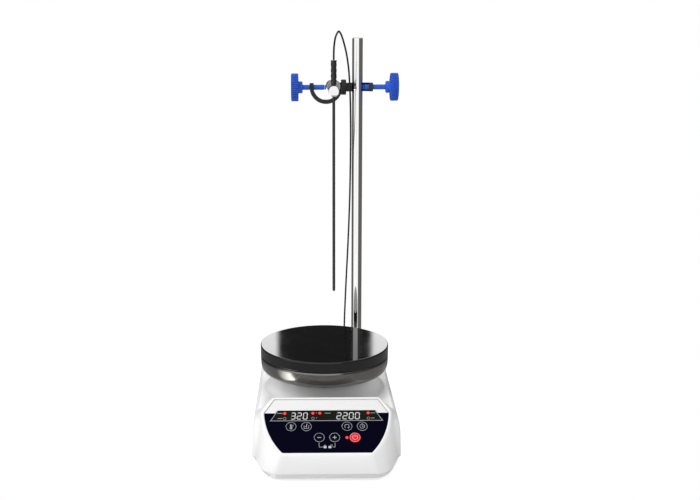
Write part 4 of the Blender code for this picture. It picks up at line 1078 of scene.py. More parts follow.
for name, (x, s) in KEYS.items():
    place = PANEL @ shift(x, s)
    material, slot = (("key_red", "red_key") if name == "key_start_stop"
                      else ("key_navy", "navy_film"))
    Shape().lathe(key_profile, 80, place).piece(name + "_cap", material, slot, name, body=name,
                                                angle=40)
    ink = Shape().lathe([(4.70, 0.135), (4.98, 0.125), (4.98, 0.0), (4.70, 0.0)], 80, place)
    strokes, blocks = GLYPHS[name]
    for width, points, closed in strokes:
        ink.stroke(points, width, 0.0, 0.09, place, closed)
    for points in blocks:
        ink.prism(points, 0.0, 0.09, place)
    ink.piece(name + "_print", "soft_white_ink", "navy_film", body=name, angle=30)

# ================================================================ hotplate
top, low = PLATE_TOP, PLATE_TOP - PLATE_T
corners = rounded([(0, top), (PLATE_R, top), (PLATE_R, low), (0, low)], [0, 1.15, 0.8, 0], 8)
plate = corners[:1] + [(20.0, top), (40.0, top), (60.0, top), (PLATE_R - 1.35, top)]
plate += corners[1:10]  # upper corner
plate += [(PLATE_R, top - 1.35), (PLATE_R, top - 5.0), (PLATE_R, low + 1.0)] + corners[10:]
Shape().lathe(plate, 240).piece("plate_disc", "plate_glaze", "plate_black", "work_plate",
                                angle=40)

skirt_outer = [
    (68.9, RING_TOP), (69.35, 83.0), (69.5, 82.2), (69.48, 81.0), (69.42, 79.0), (69.3, 76.0),
    (69.1, 73.5), (68.8, 71.8), (68.3, 70.4), (67.6, 69.2), (66.8, 68.2), (65.9, 67.4),
    (64.9, RING_BOTTOM)]
skirt_inner = [
    (63.9, 67.1), (64.3, 67.8), (65.3, 69.0), (66.2, 70.6), (66.8, 72.6), (67.1, 75.0),
    (67.2, 78.5), (66.8, 80.8), (65.8, 81.7), (48.0, 81.7), (48.0, RING_TOP)]
Shape().lathe(skirt_outer + skirt_inner, 240).piece(
    "skirt_ring", "polished_steel", "polished_steel", "steel_ring", angle=50)

for k in range(3):
    a = radians(30 + 120 * k)
    Shape().lathe(rounded([(0, 81.4), (3.5, 81.4), (3.5, 70.3), (0, 70.3)], 0.4, 3), 6,
                  shift(54.0 * cos(a), 54.0 * sin(a))).piece(
        "hex_standoff_%d" % (k + 1), "zinc_plate", "zinc_steel", "plate_standoff_%d" % (k + 1),
        angle=25)

# Heater disc, its spiral track standing slightly proud underneath
heater = Shape().lathe(rounded([(46.5, 83.4), (46.5, 81.9), (2.3, 81.9), (2.3, 83.4)], 0.15, 2,
                               closed=True)).to_object()
cut(heater, Shape().cyl(1.9, 60.0, 90.0, 0.0, 40.0))
SPIRAL_STEPS, SPIRAL_TURNS = 329, 5
spiral = []
for k in range(SPIRAL_STEPS + 1):
    r = 8.0 + 26.0 * k / SPIRAL_STEPS
    a = 2 * pi * SPIRAL_TURNS * k / SPIRAL_STEPS
    spiral.append((r * cos(a), r * sin(a)))
join(heater, Shape().stroke(spiral, 2.6, 81.55, 82.3))
heater.data.materials.clear()
finish(heater, "heater_disc", "mica_heater", "polished_steel", "heating_element")

# ================================================================ support rod and its socket
profile = rounded([(0, ROD_TOP), (5.0, ROD_TOP), (ROD_R, ROD_TOP - 1.0), (ROD_R, 200)],
                  [0, 0.25, 0.3, 0])[:-1]
profile += [(ROD_R, z) for z in (400, 350, 300, 250, 200, 150, 100, 60, 50.0)]
profile += thread(49.0, ROD_BOTTOM + 1.6, pitch=1.0, crest=5.9, root=5.35)
profile += [(5.2, ROD_BOTTOM + 0.6), (4.6, ROD_BOTTOM), (0, ROD_BOTTOM)]
Shape().lathe(profile, place=ROD_AXIS).piece("rod_bar", "chrome_plate", "chrome", "support_rod",
                                             body="rod", angle=30)

profile = rounded(
    [(6.3, 50.0), (10.4, 50.0), (11.0, 49.4), (11.0, 46.3), (8.0, 46.3), (8.0, 24.0),
     (1.5, 24.0), (1.5, 27.0), (6.3, 27.0)], [0.25, 0.3, 0.2, 0.2, 0, 0.4, 0, 0, 0], 3,
    closed=True)
Shape().lathe(profile, place=ROD_AXIS).piece("rod_bushing", "zinc_plate", "zinc_steel",
                                             "rod_socket")

# ================================================================ boss head
# Hook round the rod, lying flat
inner, outer = ROD_HOOK_R - HOOK_T / 2, ROD_HOOK_R + HOOK_T / 2
seat = ROD_X - ROD_R - CLEARANCE - ROD_HOOK_X
outline = [(-outer, -5.0)] + arc(outer, 180, 0, 48) + [(outer, -4.9), (inner, -4.9)]
outline += arc(inner, 0, degrees(acos(seat / inner)), 40) + [(seat, -5.0)]
centre = shift(ROD_HOOK_X, ROD_Y, CLAMP_Z)
hook = Shape().prism(outline, -HOOK_W / 2, HOOK_W / 2, centre, edge=0.7, seg=4).to_object()
holes = Shape().lathe([(0, 20.0), (4.2, 20.0), (4.2, outer + 0.1), (3.1, outer - 0.7),
                       (3.1, 5.0), (0, 5.0)], 48, centre @ ALONG_X)
bore_end = DISC_X1 + 4.3 - ROD_HOOK_X
holes.lathe([(0, bore_end), (2.8, bore_end), (2.8, -outer + 0.4), (3.6, -outer - 0.3),
             (3.6, -20.0), (0, -20.0)], 48, centre @ ALONG_X)
cut(hook, holes)
finish(hook, "rod_hook_casting", "cast_black", "black_clamp", "rod_hook", body="rod_clamp",
       angle=30)

# Hook round the arm, standing upright
inner, outer = ARM_HOOK_R - HOOK_T / 2, ARM_HOOK_R + HOOK_T / 2
block = DISC_X0 - CLEARANCE - ARM_HOOK_X
seat = ARM_X + ARM_R + CLEARANCE - ARM_HOOK_X
outline = [(-outer, 4.8)] + arc(outer, 180, 360 - degrees(acos(block / outer)), 52)
outline += [(block, 5.2), (seat, 5.2)]
outline += arc(inner, 360 - degrees(acos(seat / inner)), 180, 46) + [(-inner, 4.8)]
centre = shift(ARM_HOOK_X, ROD_Y, CLAMP_Z)
hook = Shape().prism(outline, -HOOK_W / 2, HOOK_W / 2, centre @ STAND_UP, edge=0.8,
                     seg=4).to_object()
holes = Shape().lathe([(0, -8.0), (3.1, -8.0), (3.1, -outer + 0.7), (4.2, -outer - 0.2),
                       (4.2, -27.0), (0, -27.0)], 48, centre @ ALONG_X)
holes.lathe([(0, 22.0), (3.5, 22.0), (3.5, block + 0.2), (2.8, block - 0.5), (2.8, 9.0),
             (0, 9.0)], 48, centre @ ALONG_X)
cut(hook, holes)
finish(hook, "arm_hook_casting", "cast_black", "black_clamp", "arm_hook", body="arm_clamp",
       angle=30)

# Fluted swivel disc and its pin
profile = rounded(
    [(0, 31.0), (2.5, 31.0), (2.5, DISC_X1), (DISC_R, DISC_X1), (DISC_R, DISC_X0),
     (2.5, DISC_X0), (2.5, 17.2), (0, 17.2)], [0, 0.4, 0.3, 0.7, 0.7, 0.3, 0.4, 0])
Shape().lathe(profile, place=SCREW_AXIS, reshape=lambda a, r, h: r - (
    0.28 * max(0.0, cos(36 * a)) if r > DISC_R - 0.4 else 0.0)
).piece("swivel_boss", "cast_black", "black_clamp", "swivel_disc", body="rod_clamp", angle=40)

# Thumbscrew profile: radius, distance outwards from the face named
WHEEL_FACE = [
    (0, -1.4), (2.2, -1.4), (3.0, -1.2), (8.8, -0.75), (10.4, -0.3), (11.6, -0.02), (12.6, 0),
    (14.2, -0.02), (14.9, -0.15), (15.35, -0.45), (15.58, -0.85), (WHEEL_R, -1.3)]
WHEEL_BACK = [
    (WHEEL_R, 0.8), (15.55, 0.45), (15.3, 0.15), (14.9, 0), (9.4, 0), (7.6, -0.12),
    (6.95, -0.5), (6.7, -1.1)]
HUB_END = [(6.7, 0.8), (6.45, 0.25), (5.9, 0), (3.4, 0), (3.0, -0.2), (SCREW_R, -0.6)]


def thumbscrew(back, face, hub_end, shank_end):
    """Ribbed wheel, hub and plain shank along the screw's axis, given by their x."""
    out = 1 if face > back else -1
    profile = [(r, face + out * d) for r, d in WHEEL_FACE] + [(WHEEL_R, (back + face) / 2)]
    profile += [(r, back + out * d) for r, d in WHEEL_BACK]
    profile += [(r, hub_end + out * d) for r, d in HUB_END]
    x = hub_end - out * 3.0
    while (x - shank_end) * out > 2.0:
        profile.append((SCREW_R, x))
        x -= out * 3.0
    profile += [(SCREW_R, shank_end + out * 0.5), (SCREW_R - 0.45, shank_end), (0, shank_end)]
    low, high = sorted((back + out * 0.1, face - out * 0.4))

    def ribbed(a, r, h):
        if r < WHEEL_R - 1.1 or not low <= h <= high:
            return r
        return r - 0.75 * (0.5 - 0.5 * max(-1.0, min(1.0, 1.9 * cos(WHEEL_RIBS * a))))

    return Shape().lathe(profile, WHEEL_RIBS * 8, SCREW_AXIS, ribbed)


rod_side = ROD_X + ROD_R + CLEARANCE
arm_side = ARM_X - ARM_R
thumbscrew(back=77.6, face=86.3, hub_end=72.2, shank_end=rod_side + 1.8).piece(
    "rod_screw_knob", "moulded_blue", "blue_plastic", "rod_thumbscrew", body="rod_knob",
    angle=38)
thumbscrew(back=-27.2, face=-35.5, hub_end=-22.4, shank_end=arm_side - 1.8).piece(
    "arm_screw_knob", "moulded_blue", "blue_plastic", "arm_thumbscrew", body="arm_knob",
    angle=38)

for which, x0, x1 in (("rod", rod_side + 1.5, rod_side), ("arm", arm_side - 1.5, arm_side)):
    s = 1 if x1 > x0 else -1
    Shape().lathe(
        [(0, x0), (1.6, x0), (2.1, x0 + 0.12 * s), (2.35, x0 + 0.4 * s), (2.6, x0 + 0.7 * s),
         (2.6, x1 - 0.3 * s), (2.35, x1), (1.2, x1), (0.9, x1 - 0.12 * s), (0, x1 - 0.15 * s)],
        48, SCREW_AXIS).piece(which + "_pressure_pad", "moulded_blue", "blue_plastic",
                              which + "_screw_tip", body=which + "_tip")

# ================================================================ arm, lock screw and probe
FLANGE_FRONT, FLANGE_BACK = 3.7, 8.9
profile = [(0, 8.0), (ARM_R, 8.0)] + [(ARM_R, y) for y in (20, 40, 60, 80, 100)]
profile += rounded([(ARM_R, 100), (ARM_R, ARM_BACK), (0, ARM_BACK)], [0, 0.9, 0], 5)[1:-1]
profile += [(3.0, ARM_BACK), (2.2, ARM_BACK - 0.7), (0, ARM_BACK - 0.7)]
arm = Shape().lathe(profile, place=shift(ARM_X, 0, ARM_Z) @ ALONG_Y).to_object()
flange = [(0, FLANGE_FRONT)]
for r in (1.3, 2.3, 3.3, 4.3, 5.4):  # turned grooves in the front face
    flange += [(r, FLANGE_FRONT), (r + 0.12, 3.98), (r + 0.42, 3.98), (r + 0.54, FLANGE_FRONT)]
flange += rounded([(0, FLANGE_FRONT), (7.1, FLANGE_FRONT), (7.1, FLANGE_BACK),
                   (0, FLANGE_BACK)], [0, 0.5, 0.4, 0])[2:]
join(arm, Shape().lathe(flange, place=shift(ARM_X, 0, ARM_Z + 0.7) @ ALONG_Y))
join(arm, Shape().lathe(rounded([(0, -5.0), (5.1, -5.0), (5.1, 4.5), (0, 4.5)],
                                [0, 0.4, 0, 0]), place=LOCK_AXIS))
cut(arm, Shape().lathe(
    [(0, ARM_Z + 3.0), (1.8, ARM_Z + 3.0), (1.8, LOCK_Z - 4.2), (2.5, LOCK_Z - 5.3),
     (2.5, 355), (0, 355)], 40, shift(ARM_X)))
cut(arm, Shape().lathe([(0, -8.0), (2.9, -8.0), (2.9, -5.0), (2.35, -4.4), (2.35, -0.5),
                        (0, -0.5)], 40, LOCK_AXIS))
finish(arm, "probe_arm_bar", ("chrome_turned", "turned_flange"), "chrome", "probe_arm",
       body="arm", angle=30)
for f in arm.data.polygons:
    if f.center.y < 9.0 * MM:
        f.material_index = 1

profile = [(0, -1.9), (1.6, -1.9)] + thread(-2.2, -4.6, pitch=0.6, crest=2.0, root=1.75)
profile += [(2.0, -5.4), (5.2, -5.4), (5.6, -5.8), (5.6, -6.4), (5.45, -6.55), (5.45, -6.75),
            (5.6, -6.9), (5.6, -8.3), (5.5, -8.65), (5.2, -8.9), (4.9, -9.0), (0, -9.0)]
Shape().lathe(profile, 120, LOCK_AXIS).piece(
    "lock_screw_head", "chrome_turned", "chrome", "probe_lock_screw", body="lock_screw",
    angle=38)

profile = [(0, 371.0), (1.3, 371.0), (PROBE_R, 370.8)]
profile += [(PROBE_R, z) for z in (340, 300, 260, 220, 180, PROBE_TIP + 2.0)]
profile += [(PROBE_R * cos(t), PROBE_TIP + 1.8 - 1.8 * sin(t))
            for t in [radians(18 * k) for k in range(5)]] + [(0, PROBE_TIP)]
Shape().lathe(profile, 48, shift(ARM_X)).piece("probe_stem", "probe_coating", "probe_black",
                                               "probe_sheath", body="probe")

# Ribbed grip: collar on top, swelling ribs, a cone down to the stem
GRIP_STEPS = 72
profile = [(r, GRIP_TOP - drop) for r, drop in (
    (0, 0), (1.0, 0), (1.3, 0.15), (2.3, 0.15), (2.8, 0.1), (3.08, 0.4), (3.12, 1.0),
    (3.1, 1.7), (2.8, 2.05))]
for k in range(GRIP_STEPS):
    u = (k + 1) / GRIP_STEPS
    wave = abs(sin(pi * 3.35 * u + 0.25)) ** 0.55
    profile.append((2.55 + 0.5 * wave, GRIP_TOP - 2.2 - u * (GRIP_TOP - GRIP_BOTTOM - 6.6)))
profile += [(r, GRIP_BOTTOM + rise) for r, rise in (
    (2.75, 3.9), (2.6, 3.0), (2.45, 1.6), (2.4, 0.5), (2.2, 0), (0, 0))]
Shape().lathe(profile, 72, shift(ARM_X)).piece("probe_handle", "grip_rubber", "black_plastic",
                                               "probe_grip", body="probe", angle=45)

# ================================================================ cable
# Lengths that meet on shared rings. Knots run from the plug to the grip: x, y, z
KNOTS = [
    (SOCKET_X, 141.4, SOCKET_Z), (SOCKET_X, 147.0, 30.2), (28.0, 150.8, 35.0),
    (27.8, 151.0, 44.0), (27.5, 146.5, 62.0), (27.6, 138.0, 88.0), (28.8, 124.0, 135.0),
    (30.6, 110.0, 190.0), (31.9, 99.5, 245.0), (32.3, 92.5, 300.0), (32.0, 88.0, 335.0),
    (31.2, 85.5, 362.0), (29.8, 80.5, 383.0), (28.3, 73.5, 394.0), (26.5, 66.0, 403.5),
    (24.2, 58.0, 412.0), (21.5, 49.5, 420.0), (19.2, 42.5, 425.0), (16.9, 35.0, 427.4),
    (15.0, 26.0, 425.6), (12.6, 14.5, 420.5), (11.1, 5.2, 413.0), (10.5, 0.8, 405.5),
    (ARM_X, 0.0, GRIP_TOP + 0.2),
]


def curve_through(points, spacing):
    """Evenly stepped points along a smooth curve, with the index where each knot falls."""
    pts = [Vector(p) for p in points]
    pts = [2 * pts[0] - pts[1]] + pts + [2 * pts[-1] - pts[-2]]
    out, marks = [], []
    for a, b, c, d in zip(pts, pts[1:], pts[2:], pts[3:]):
        marks.append(len(out))
        per = max(2, round((c - b).length / spacing))
        out += [catmull_rom(a, b, c, d, k / per) for k in range(per)]
    marks.append(len(out))
    return out + [pts[-2]], marks


path, knot_at = curve_through(KNOTS, 1.6)
cable_rings = []
up = Vector((1, 0, 0))
for i, p in enumerate(path):
    along = (path[min(i + 1, len(path) - 1)] - path[max(i - 1, 0)]).normalized()
    up = (up - along * up.dot(along)).normalized()
    side = along.cross(up)
    angles = [2 * pi * k / CABLE_SIDES for k in range(CABLE_SIDES)]
    cable_rings.append([p + (up * cos(a) + side * sin(a)) * CABLE_R for a in angles])


def cable_length(name, first_knot, last_knot, body=None):
    rows = cable_rings[knot_at[first_knot]:knot_at[last_knot] + 1]
    return Shape().loft(rows).piece(name, "cable_jacket", "rubber", "probe_cable", body=body,
                                    angle=60)


# name, first and last knot, the two bodies at its ends, where a bend would start and end; the
# loop uses only the name and the knots
for name, first, last, body_a, body_b, start, end in (
        ("cable_1_from_socket", 0, 7, "housing", "rod", (0, 0, 95.0), (0, 0, 189.0)),
        ("cable_2_beside_rod", 7, 10, "rod", "rod_clamp", (0, 0, 191.0), (0, 0, 334.0)),
        ("cable_3_behind_neck", 10, 12, "rod_clamp", "arm_clamp", (0, 0, 336.0), (0, 0, 382.0)),
        ("cable_4_rise", 12, 16, "arm_clamp", "arm", KNOTS[12], KNOTS[16]),
        ("cable_5_over_top", 16, 21, "arm", "probe", (0, 49.0, 0), (0, 6.0, 0))):
    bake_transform(cable_length(name, first, last))
cable_length("cable_6_to_grip", 21, 23, body="probe")

# ================================================================ rear panel
inlet = Shape().prism(rect(INLET_X0, INLET_Z0, INLET_X1, INLET_Z1, 2.0, 6), -119.8, -117.3,
                      STAND_UP, edge=0.5).to_object()
join(inlet, Shape().box((INLET_X0 + 2, 97, INLET_Z0 + 2), (INLET_X1 - 2, 118.5, INLET_Z1 - 2)))
opening = rounded([(-36.6, 23.6), (-12.4, 23.6), (-12.4, 36.2), (-15.6, 39.4), (-33.4, 39.4),
                   (-36.6, 36.2)], 1.0, closed=True)
half_w, half_h = 12.1, 7.9
mid_x, mid_z = -36.6 + half_w, 23.6 + half_h
cut(inlet, Shape().loft([
    [(mid_x + (x - mid_x) * (1 + grow / half_w), y, mid_z + (z - mid_z) * (1 + grow / half_h))
     for x, z in opening]
    for grow, y in ((0.0, 103.0), (0.0, 119.3), (0.5, 119.82), (0.5, 122.0))]))
cut(inlet, Shape().box((-34.0, 100, 16.8), (-14.0, 121, 21.4)))
cut(inlet, Shape().box((ROCKER_X - 5.1, 103, ROCKER_Z - 9.4),
                       (ROCKER_X + 5.1, 121, ROCKER_Z + 9.4)))
finish(inlet, "inlet_frame", "moulded_black", "black_plastic", "mains_inlet", angle=30)
blades = Shape()
for x, z in ((-31.5, 29.2), (-17.5, 29.2), (-24.5, 33.4)):
    blades.soft_box((x - 1.0, 102.0, z - 2.0), (x + 1.0, 115.0, z + 2.0), 0.45)
blades.piece("inlet_blades", "tinned_brass", "zinc_steel")

drawer = Shape().soft_box((-33.6, 101, 17.2), (-14.4, 120.6, 21.0), 0.5).to_object()
cut(drawer, Shape().box((-27.0, 119.6, 16.0), (-21.0, 122.0, 18.1)))
finish(drawer, "fuse_carrier", "moulded_black", "black_plastic", "fuse_drawer", body="fuse",
       angle=30)

# Rocker section: distance out of the panel, height
rocker = [(-3.0, -7.6), (7.4, -8.0), (6.9, -4.2), (6.25, -1.4), (6.1, 0.0), (6.25, 1.4),
          (6.9, 4.2), (7.4, 8.0), (-3.0, 7.6)]
place = (shift(ROCKER_X, ROCKER_Y, ROCKER_Z) @ Matrix.Rotation(radians(8), 4, "X")
         @ OUTLINE_YZ)
Shape().prism(rounded(rocker, [0.4, 0.9, 3, 3, 3, 3, 3, 0.9, 0.4], closed=True), -4.7, 4.7,
              place, edge=0.45).piece("rocker_cap", "moulded_black", "black_plastic",
                                      "power_rocker", body="rocker")
bar_place, ring_place = [place @ shift(6.98, y) @ OUTLINE_YZ for y in (4.9, -4.9)]
marks = Shape().prism(rect(-1.5, -0.25, 1.5, 0.25), -0.12, 0.10, bar_place)
marks.stroke(arc(1.15, 0, 345, 23), 0.4, -0.12, 0.10, ring_place, closed=True)
marks.piece("rocker_marks", "white_ink", "black_plastic", body="rocker", angle=30)

profile = rounded(
    [(4.2, 119.3), (7.4, 119.3), (8.0, 118.7), (8.0, 117.3), (6.0, 117.3), (6.0, 105.0),
     (2.0, 105.0), (2.0, 109.5), (4.2, 109.5)], [0.25, 0.25, 0.25, 0, 0, 0.4, 0, 0, 0], 3,
    closed=True)
Shape().lathe(profile, 72, SOCKET_AXIS, lambda a, r, h: r - (
    0.22 * max(0.0, cos(30 * a)) if r > 7.7 else 0)
).piece("probe_jack", "moulded_black", "black_plastic", "probe_socket")

profile = [(0, 141.0), (1.5, 141.0), (1.9, 140.6)]
y = 139.8
while y > 134.6:  # ribbed strain relief
    r = 1.9 + 0.7 * (141 - y) / 7
    profile += [(r, y), (r, y - 0.7), (r - 0.45, y - 0.9), (r - 0.45, y - 1.3)]
    y -= 1.5
profile += [(2.6, 134.0), (4.6, 133.2), (5.0, 132.7), (5.2, 131.5), (5.2, 121.0), (4.8, 119.8),
            (3.8, 119.6), (3.8, 111.4), (3.5, 111.0), (0, 111.0)]
Shape().lathe(profile, 80, SOCKET_AXIS, lambda a, r, h: r - (
    0.25 * max(0.0, cos(20 * a)) if r > 5.1 and 122 < h < 131.4 else 0)
).piece("probe_connector", "moulded_black", "black_plastic", "probe_plug")

# ================================================================ inside the housing
profile = rounded(
    [(2.85, 56.0), (8.0, 56.0), (8.0, 52.0), (27.0, 52.0), (29.0, 50.0), (29.0, 22.3),
     (27.0, 20.3), (2.0, 20.3), (2.0, 22.0), (2.85, 22.0)],
    [0, 0.5, 0, 0.6, 0.6, 0.8, 0.8, 0, 0, 0], 3, closed=True)
Shape().lathe(profile, reshape=lambda a, r, h: r - (
    0.5 if r > 28.4 and 26 < h < 47 and cos(12 * a) > 0.55 else 0.0)
).piece("motor_case", "zinc_plate", "zinc_steel", "stirrer_motor")

core = Shape().soft_box((-46, 52, 15.9), (-12, 86, 19.5), 0.6).to_object()
join(core, Shape().box((-45.4, 56.0, 19.0), (-12.6, 82.0, 38.4)))
finish(core, "transformer_core", "laminated_core", "black_plastic", "power_transformer")
Shape().soft_box((-39.0, 52.3, 20.2), (-19.0, 85.7, 38.9), 2.4).piece(
    "transformer_winding", "winding_tape", "black_plastic")

board = Shape().prism([(-51, 47), (51, 47), (51, 86.0), (43, 93), (-51, 93)], 14.0,
                      15.6).to_object()
cut(board, Shape().cyl(12.0, 10.0, 20.0, 55.0, 97.0, seg=40))
finish(board, "power_board", "circuit_board", "board", "main_board")
FOOT_Z = 15.62  # underside of the parts on the board
parts = Shape()
for x, y, r, h in ((34, 56, 4.0, 16), (44, 56, 4.0, 16), (34, 66, 3.0, 11), (30, 86, 2.5, 8)):
    parts.lathe(rounded([(0, 15.65 + h), (r, 15.65 + h), (r, FOOT_Z), (0, FOOT_Z)],
                        [0, 0.5, 0.2, 0], 3), 40, shift(x, y))
for x0, y0, x1, y1, height in ((38, 62, 47, 75, 24), (-8, 88.5, 6, 92, 19),
                               (-6, 49, 8, 51.5, 18), (26, 72, 34, 80, 17.2)):
    parts.soft_box((x0, y0, FOOT_Z), (x1, y1, height), 0.4)
parts.piece("board_components", "chip_epoxy", "board", angle=30)

fins = [(-14, 0), (14, 0), (14, 16), (11.5, 16), (11.5, 3), (8.5, 3), (8.5, 16), (6, 16), (6, 3),
        (1.3, 3), (1.3, 16), (-1.3, 16), (-1.3, 3), (-6, 3), (-6, 16), (-8.5, 16), (-8.5, 3),
        (-11.5, 3), (-11.5, 16), (-14, 16)]
Shape().prism(rounded(fins, 0.5, 3, closed=True), -16.0, 16.0, shift(12, 68, 15.9) @ STAND_UP,
              edge=0.2, seg=2).piece("finned_heatsink", "milled_aluminium", "aluminium",
                                     "heatsink")

outline = rounded([(-43, 9), (43, 9), (51, 20), (51, 53), (-51, 53), (-51, 20)], 1.5, 3,
                  closed=True)
Shape().prism(outline, -10.2, -8.6, PANEL).piece("display_pcb", "circuit_board", "board",
                                                 "display_board")
for which, x0, x1, count in (("temperature", -38.0, -16.0, 3), ("speed", 7.0, 35.5, 4)):
    Shape().soft_box((x0, 37.0, -7.9), (x1, 46.2, -1.6), 0.35, PANEL).piece(
        which + "_module", "chip_epoxy", "led_module", "led_digits_" + which)
    pitch = (x1 - x0 - 2.0) / count
    figures = Shape()
    for i in range(count):
        add_digit(figures, x0 + 1.0 + i * pitch + pitch * 0.12, 37.9, pitch * 0.76, 7.4, 0.9,
                  "abcdefg", -1.65, -1.5)
    figures.piece(which + "_module_segments", "lit_segment", "led_module", angle=30)

bracket = Shape().prism(rect(-36, -34, 36, 34, 4.0, 6), 18.0, 20.0, edge=0.25,
                        seg=2).to_object()
for x in (-31, 31):
    for y in (-29, 29):
        join(bracket, Shape().cyl(4.0, 7.3, 19.0, x, y, seg=40))
finish(bracket, "motor_plate", "zinc_plate", "zinc_steel", "motor_bracket")

carrier = Shape().prism(rect(-33, -10, 33, 10, 5.0, 8), 62.0, 65.0, edge=0.3, seg=2).to_object()
join(carrier, Shape().cyl(7.0, 57.0, 63.0, seg=64))
cut(carrier, Shape().cyl(2.8, 55.0, 67.0, seg=48))
finish(carrier, "magnet_bar", "milled_aluminium", "aluminium", "magnet_carrier", body="rotor")
for tag, x in (("a", -24.0), ("b", 24.0)):
    Shape().lathe(rounded([(0, 75.3), (8.0, 75.3), (8.0, 65.3), (0, 65.3)], 0.6), 64,
                  shift(x)).piece("disc_magnet_" + tag, "nickel_magnet", "magnet",
                                  "drive_magnet_" + tag, body="rotor")
# Shaft with a flat near its top
Shape().lathe(rounded([(0, 64.8), (2.5, 64.8), (2.5, 24.0), (0, 24.0)], 0.4, 3), 48,
              reshape=lambda a, r, h: min(r, 2.1 / max(0.2, cos(a)))
              if h > 57.5 and cos(a) > 0.84 else r
              ).piece("drive_shaft", "polished_steel", "polished_steel", "motor_shaft",
                      body="rotor")

# Packed pieces kept as they are
for node, material, slot in (("insulation_disc", "mineral_wool", "insulation"),
                             ("plate_sensor", "polished_steel", "polished_steel")):
    obj = NODES[node]
    obj.data.materials.clear()
    obj.data.materials.append(MATERIALS[material])


# ================================================================ world and floor
def studio(g, direction):
    """Brightness of the studio in a mirror, by direction."""
    x, y, z = g.new("SeparateXYZ", Vector=direction).outputs
    azimuth = g.math("ARCTAN2", x, g.math("MULTIPLY", y, -1.0))  # 0 front, + to the right
    turn = g.math("MULTIPLY_ADD", azimuth, 0.5 / pi, 0.5)
    brightest = 5.0

    def by_azimuth(stops):
        """Stops are (degrees, brightness)."""
        line = g.ramp(turn, [(0.5 + deg / 360.0, v / brightest) for deg, v in stops])
        return g.math("MULTIPLY", line, brightest)

    def blend(a, b, t):
        return g.math("ADD", g.math("MULTIPLY", g.math("SUBTRACT", b, a), t), a)

    upright = by_azimuth([(-180, 0.10), (-104, 0.10), (-94, 0.13), (-80, 0.45), (-71, 1.15),
                          (26, 1.15), (31, 0.20), (40, 0.13), (150, 0.13), (180, 0.11)])
    # behind the plate: a dark strip between two bright panels
    ahead = g.math("DIVIDE", x, g.math("MAXIMUM", y, 0.02))
    off = g.math("ABSOLUTE", g.math("SUBTRACT", ahead, 0.0175))
    panels = g.math("MULTIPLY", g.remap(off, 0.0515, 0.0575),
                    g.math("SUBTRACT", 1.0, g.remap(off, 0.20, 0.26)))
    at_back = g.math("GREATER_THAN", y, 0.3)
    behind = blend(upright, g.math("MULTIPLY_ADD", panels, 3.4, 0.035), at_back)
    rim = by_azimuth([(-180, 0.10), (-155, 0.20), (-120, 0.32), (-90, 0.42), (90, 0.42),
                      (120, 0.32), (155, 0.20), (180, 0.10)])
    # low on the left, a bright patch cut off at a slant
    patch = by_azimuth([(-95, 0.0), (-88, 0.7), (-72, 3.0), (-62, 5.0), (-30, 5.0)])
    edge = g.remap(z, -0.62, -0.38, radians(-42), radians(-64))
    patch = g.math("MULTIPLY", patch, g.math("LESS_THAN", azimuth, edge))
    patch = g.math("MULTIPLY", g.math("MULTIPLY", patch, 1.5), g.remap(z, -0.85, -0.75))
    v = g.math("ADD", patch, 0.45)
    # from straight down to straight up: what is seen above, low and high z of the change
    for level, low, high in ((rim, -0.352, -0.336), (upright, -0.298, -0.284),
                             (behind, 0.12, 0.18), (upright, 0.40, 0.48), (0.86, 0.50, 0.75)):
        v = blend(v, level, g.remap(z, low, high))
    return v


def build_world():
    """White to the camera, the studio in reflections, a soft sky for everything else."""
    world = bpy.data.worlds.new("studio")
    bpy.context.scene.world = world
    world.use_nodes = True
    world.node_tree.nodes.clear()
    g = Nodes(world.node_tree)
    white = (1.0, 1.0, 1.0)
    ray = g.new("LightPath").outputs
    coord = g.new("TexCoord").outputs["Generated"]
    mirror = g.new("Background", Color=studio(g, coord), Strength=1.0)
    plain = g.new("Background", Color=white, Strength=1.0)
    x, y, z = g.new("SeparateXYZ", Vector=coord).outputs
    rise = g.remap(z, 0.0, 1.0, to_low=0.47, to_high=0.92)
    # a little brighter from the left and the front
    sides = g.math("MULTIPLY", g.math("MULTIPLY_ADD", x, -0.14, 1.0),
                   g.math("MULTIPLY_ADD", y, -0.16, 1.0))
    soft = g.new("Background", Color=white, Strength=g.math("MULTIPLY", rise, sides))
    lit = g.mix_shader(ray["Is Glossy Ray"], soft.outputs[0], mirror.outputs[0])
    g.new("OutputWorld", Surface=g.mix_shader(ray["Is Camera Ray"], lit, plain.outputs[0]))


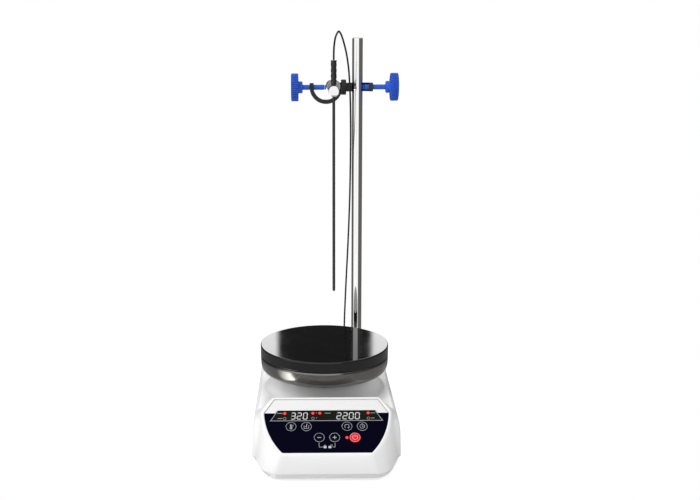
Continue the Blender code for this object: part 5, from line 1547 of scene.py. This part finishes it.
def floor_material():
    """Pale paper that fades to plain white around the stirrer and mirrors as the studio."""
    material = bpy.data.materials.new("pale_floor")
    material.use_nodes = True
    material.node_tree.nodes.clear()
    g = Nodes(material.node_tree)
    ray = g.new("LightPath").outputs
    incoming = g.new("NewGeometry").outputs["Incoming"]
    onward = g.new("VectorMath", operation="SCALE", Vector=incoming, Scale=-1.0).outputs[0]
    mirrored_studio = g.new("Emission", Color=studio(g, onward), Strength=1.0)
    cloud = g.new("TexNoise", Scale=3.0).outputs["Fac"]
    tone = g.ramp(cloud, [(0.3, (0.90, 0.90, 0.905)), (0.7, (0.915, 0.915, 0.92))])
    diffuse = g.new("BsdfDiffuse", Color=tone)
    glow = g.math("MULTIPLY_ADD", ray["Is Camera Ray"], 0.50, 0.06)
    lift = g.new("Emission", Color=(1, 1, 1), Strength=glow)
    near = g.new("AddShader")
    g.feed(near.inputs[0], diffuse.outputs[0])
    g.feed(near.inputs[1], lift.outputs[0])
    paper = g.new("Emission", Color=(1, 1, 1))
    position = g.new("NewGeometry").outputs["Position"]
    distance = g.new("VectorMath", operation="LENGTH", Vector=position).outputs["Value"]
    away = g.math("MULTIPLY", g.remap(distance, 0.16, 0.34), ray["Is Camera Ray"])
    sheet = g.mix_shader(away, near.outputs[0], paper.outputs[0])
    g.new("OutputMaterial", Surface=g.mix_shader(ray["Is Glossy Ray"], sheet,
                                                 mirrored_studio.outputs[0]))
    return material


build_world()
bm = bmesh.new()
bmesh.ops.create_circle(bm, cap_ends=True, radius=9.0, segments=96)
for v in bm.verts:
    v.co.z = -PLATE_TOP * MM
mesh = bpy.data.meshes.new("floor")
bm.to_mesh(mesh)
bm.free()
add_object("floor", mesh)
mesh.materials.append(floor_material())


# ================================================================ lights and camera
def lamp(name, place, size, watts):
    """A round area light aimed at the plate's top, unseen by the camera and in reflections."""
    light = bpy.data.lights.new(name, "AREA")
    light.shape = "DISK"
    light.size = size
    light.energy = watts
    obj = add_object(name, light)
    obj.location = place
    obj.rotation_euler = (-Vector(place)).to_track_quat("-Z", "Y").to_euler()
    obj.visible_camera = False
    obj.visible_glossy = False


lamp("key", place=(-0.75, -0.75, 1.7), size=0.8, watts=14)
lamp("fill_left", place=(-1.5, -0.35, 0.55), size=1.1, watts=3.5)

CAMERA_DOWN, CAMERA_ROLL = 11.4, -0.35  # degrees
lens = bpy.data.cameras.new("camera")
lens.sensor_fit = "HORIZONTAL"
lens.sensor_width = 36.0
lens.lens = 46.286
lens.shift_x = 0.0583
lens.clip_start, lens.clip_end = 0.05, 50.0
camera = add_object("camera", lens)
camera.location = at(-16.0, -945.0, 389.0)
camera.rotation_mode = "XYZ"
aim = (Matrix.Rotation(radians(90.0 - CAMERA_DOWN), 4, "X")
       @ Matrix.Rotation(radians(CAMERA_ROLL), 4, "Z"))
camera.rotation_euler = aim.to_euler("XYZ")
scene = bpy.context.scene
scene.camera = camera
scene.view_settings.view_transform = "Standard"
scene.view_settings.look = "None"
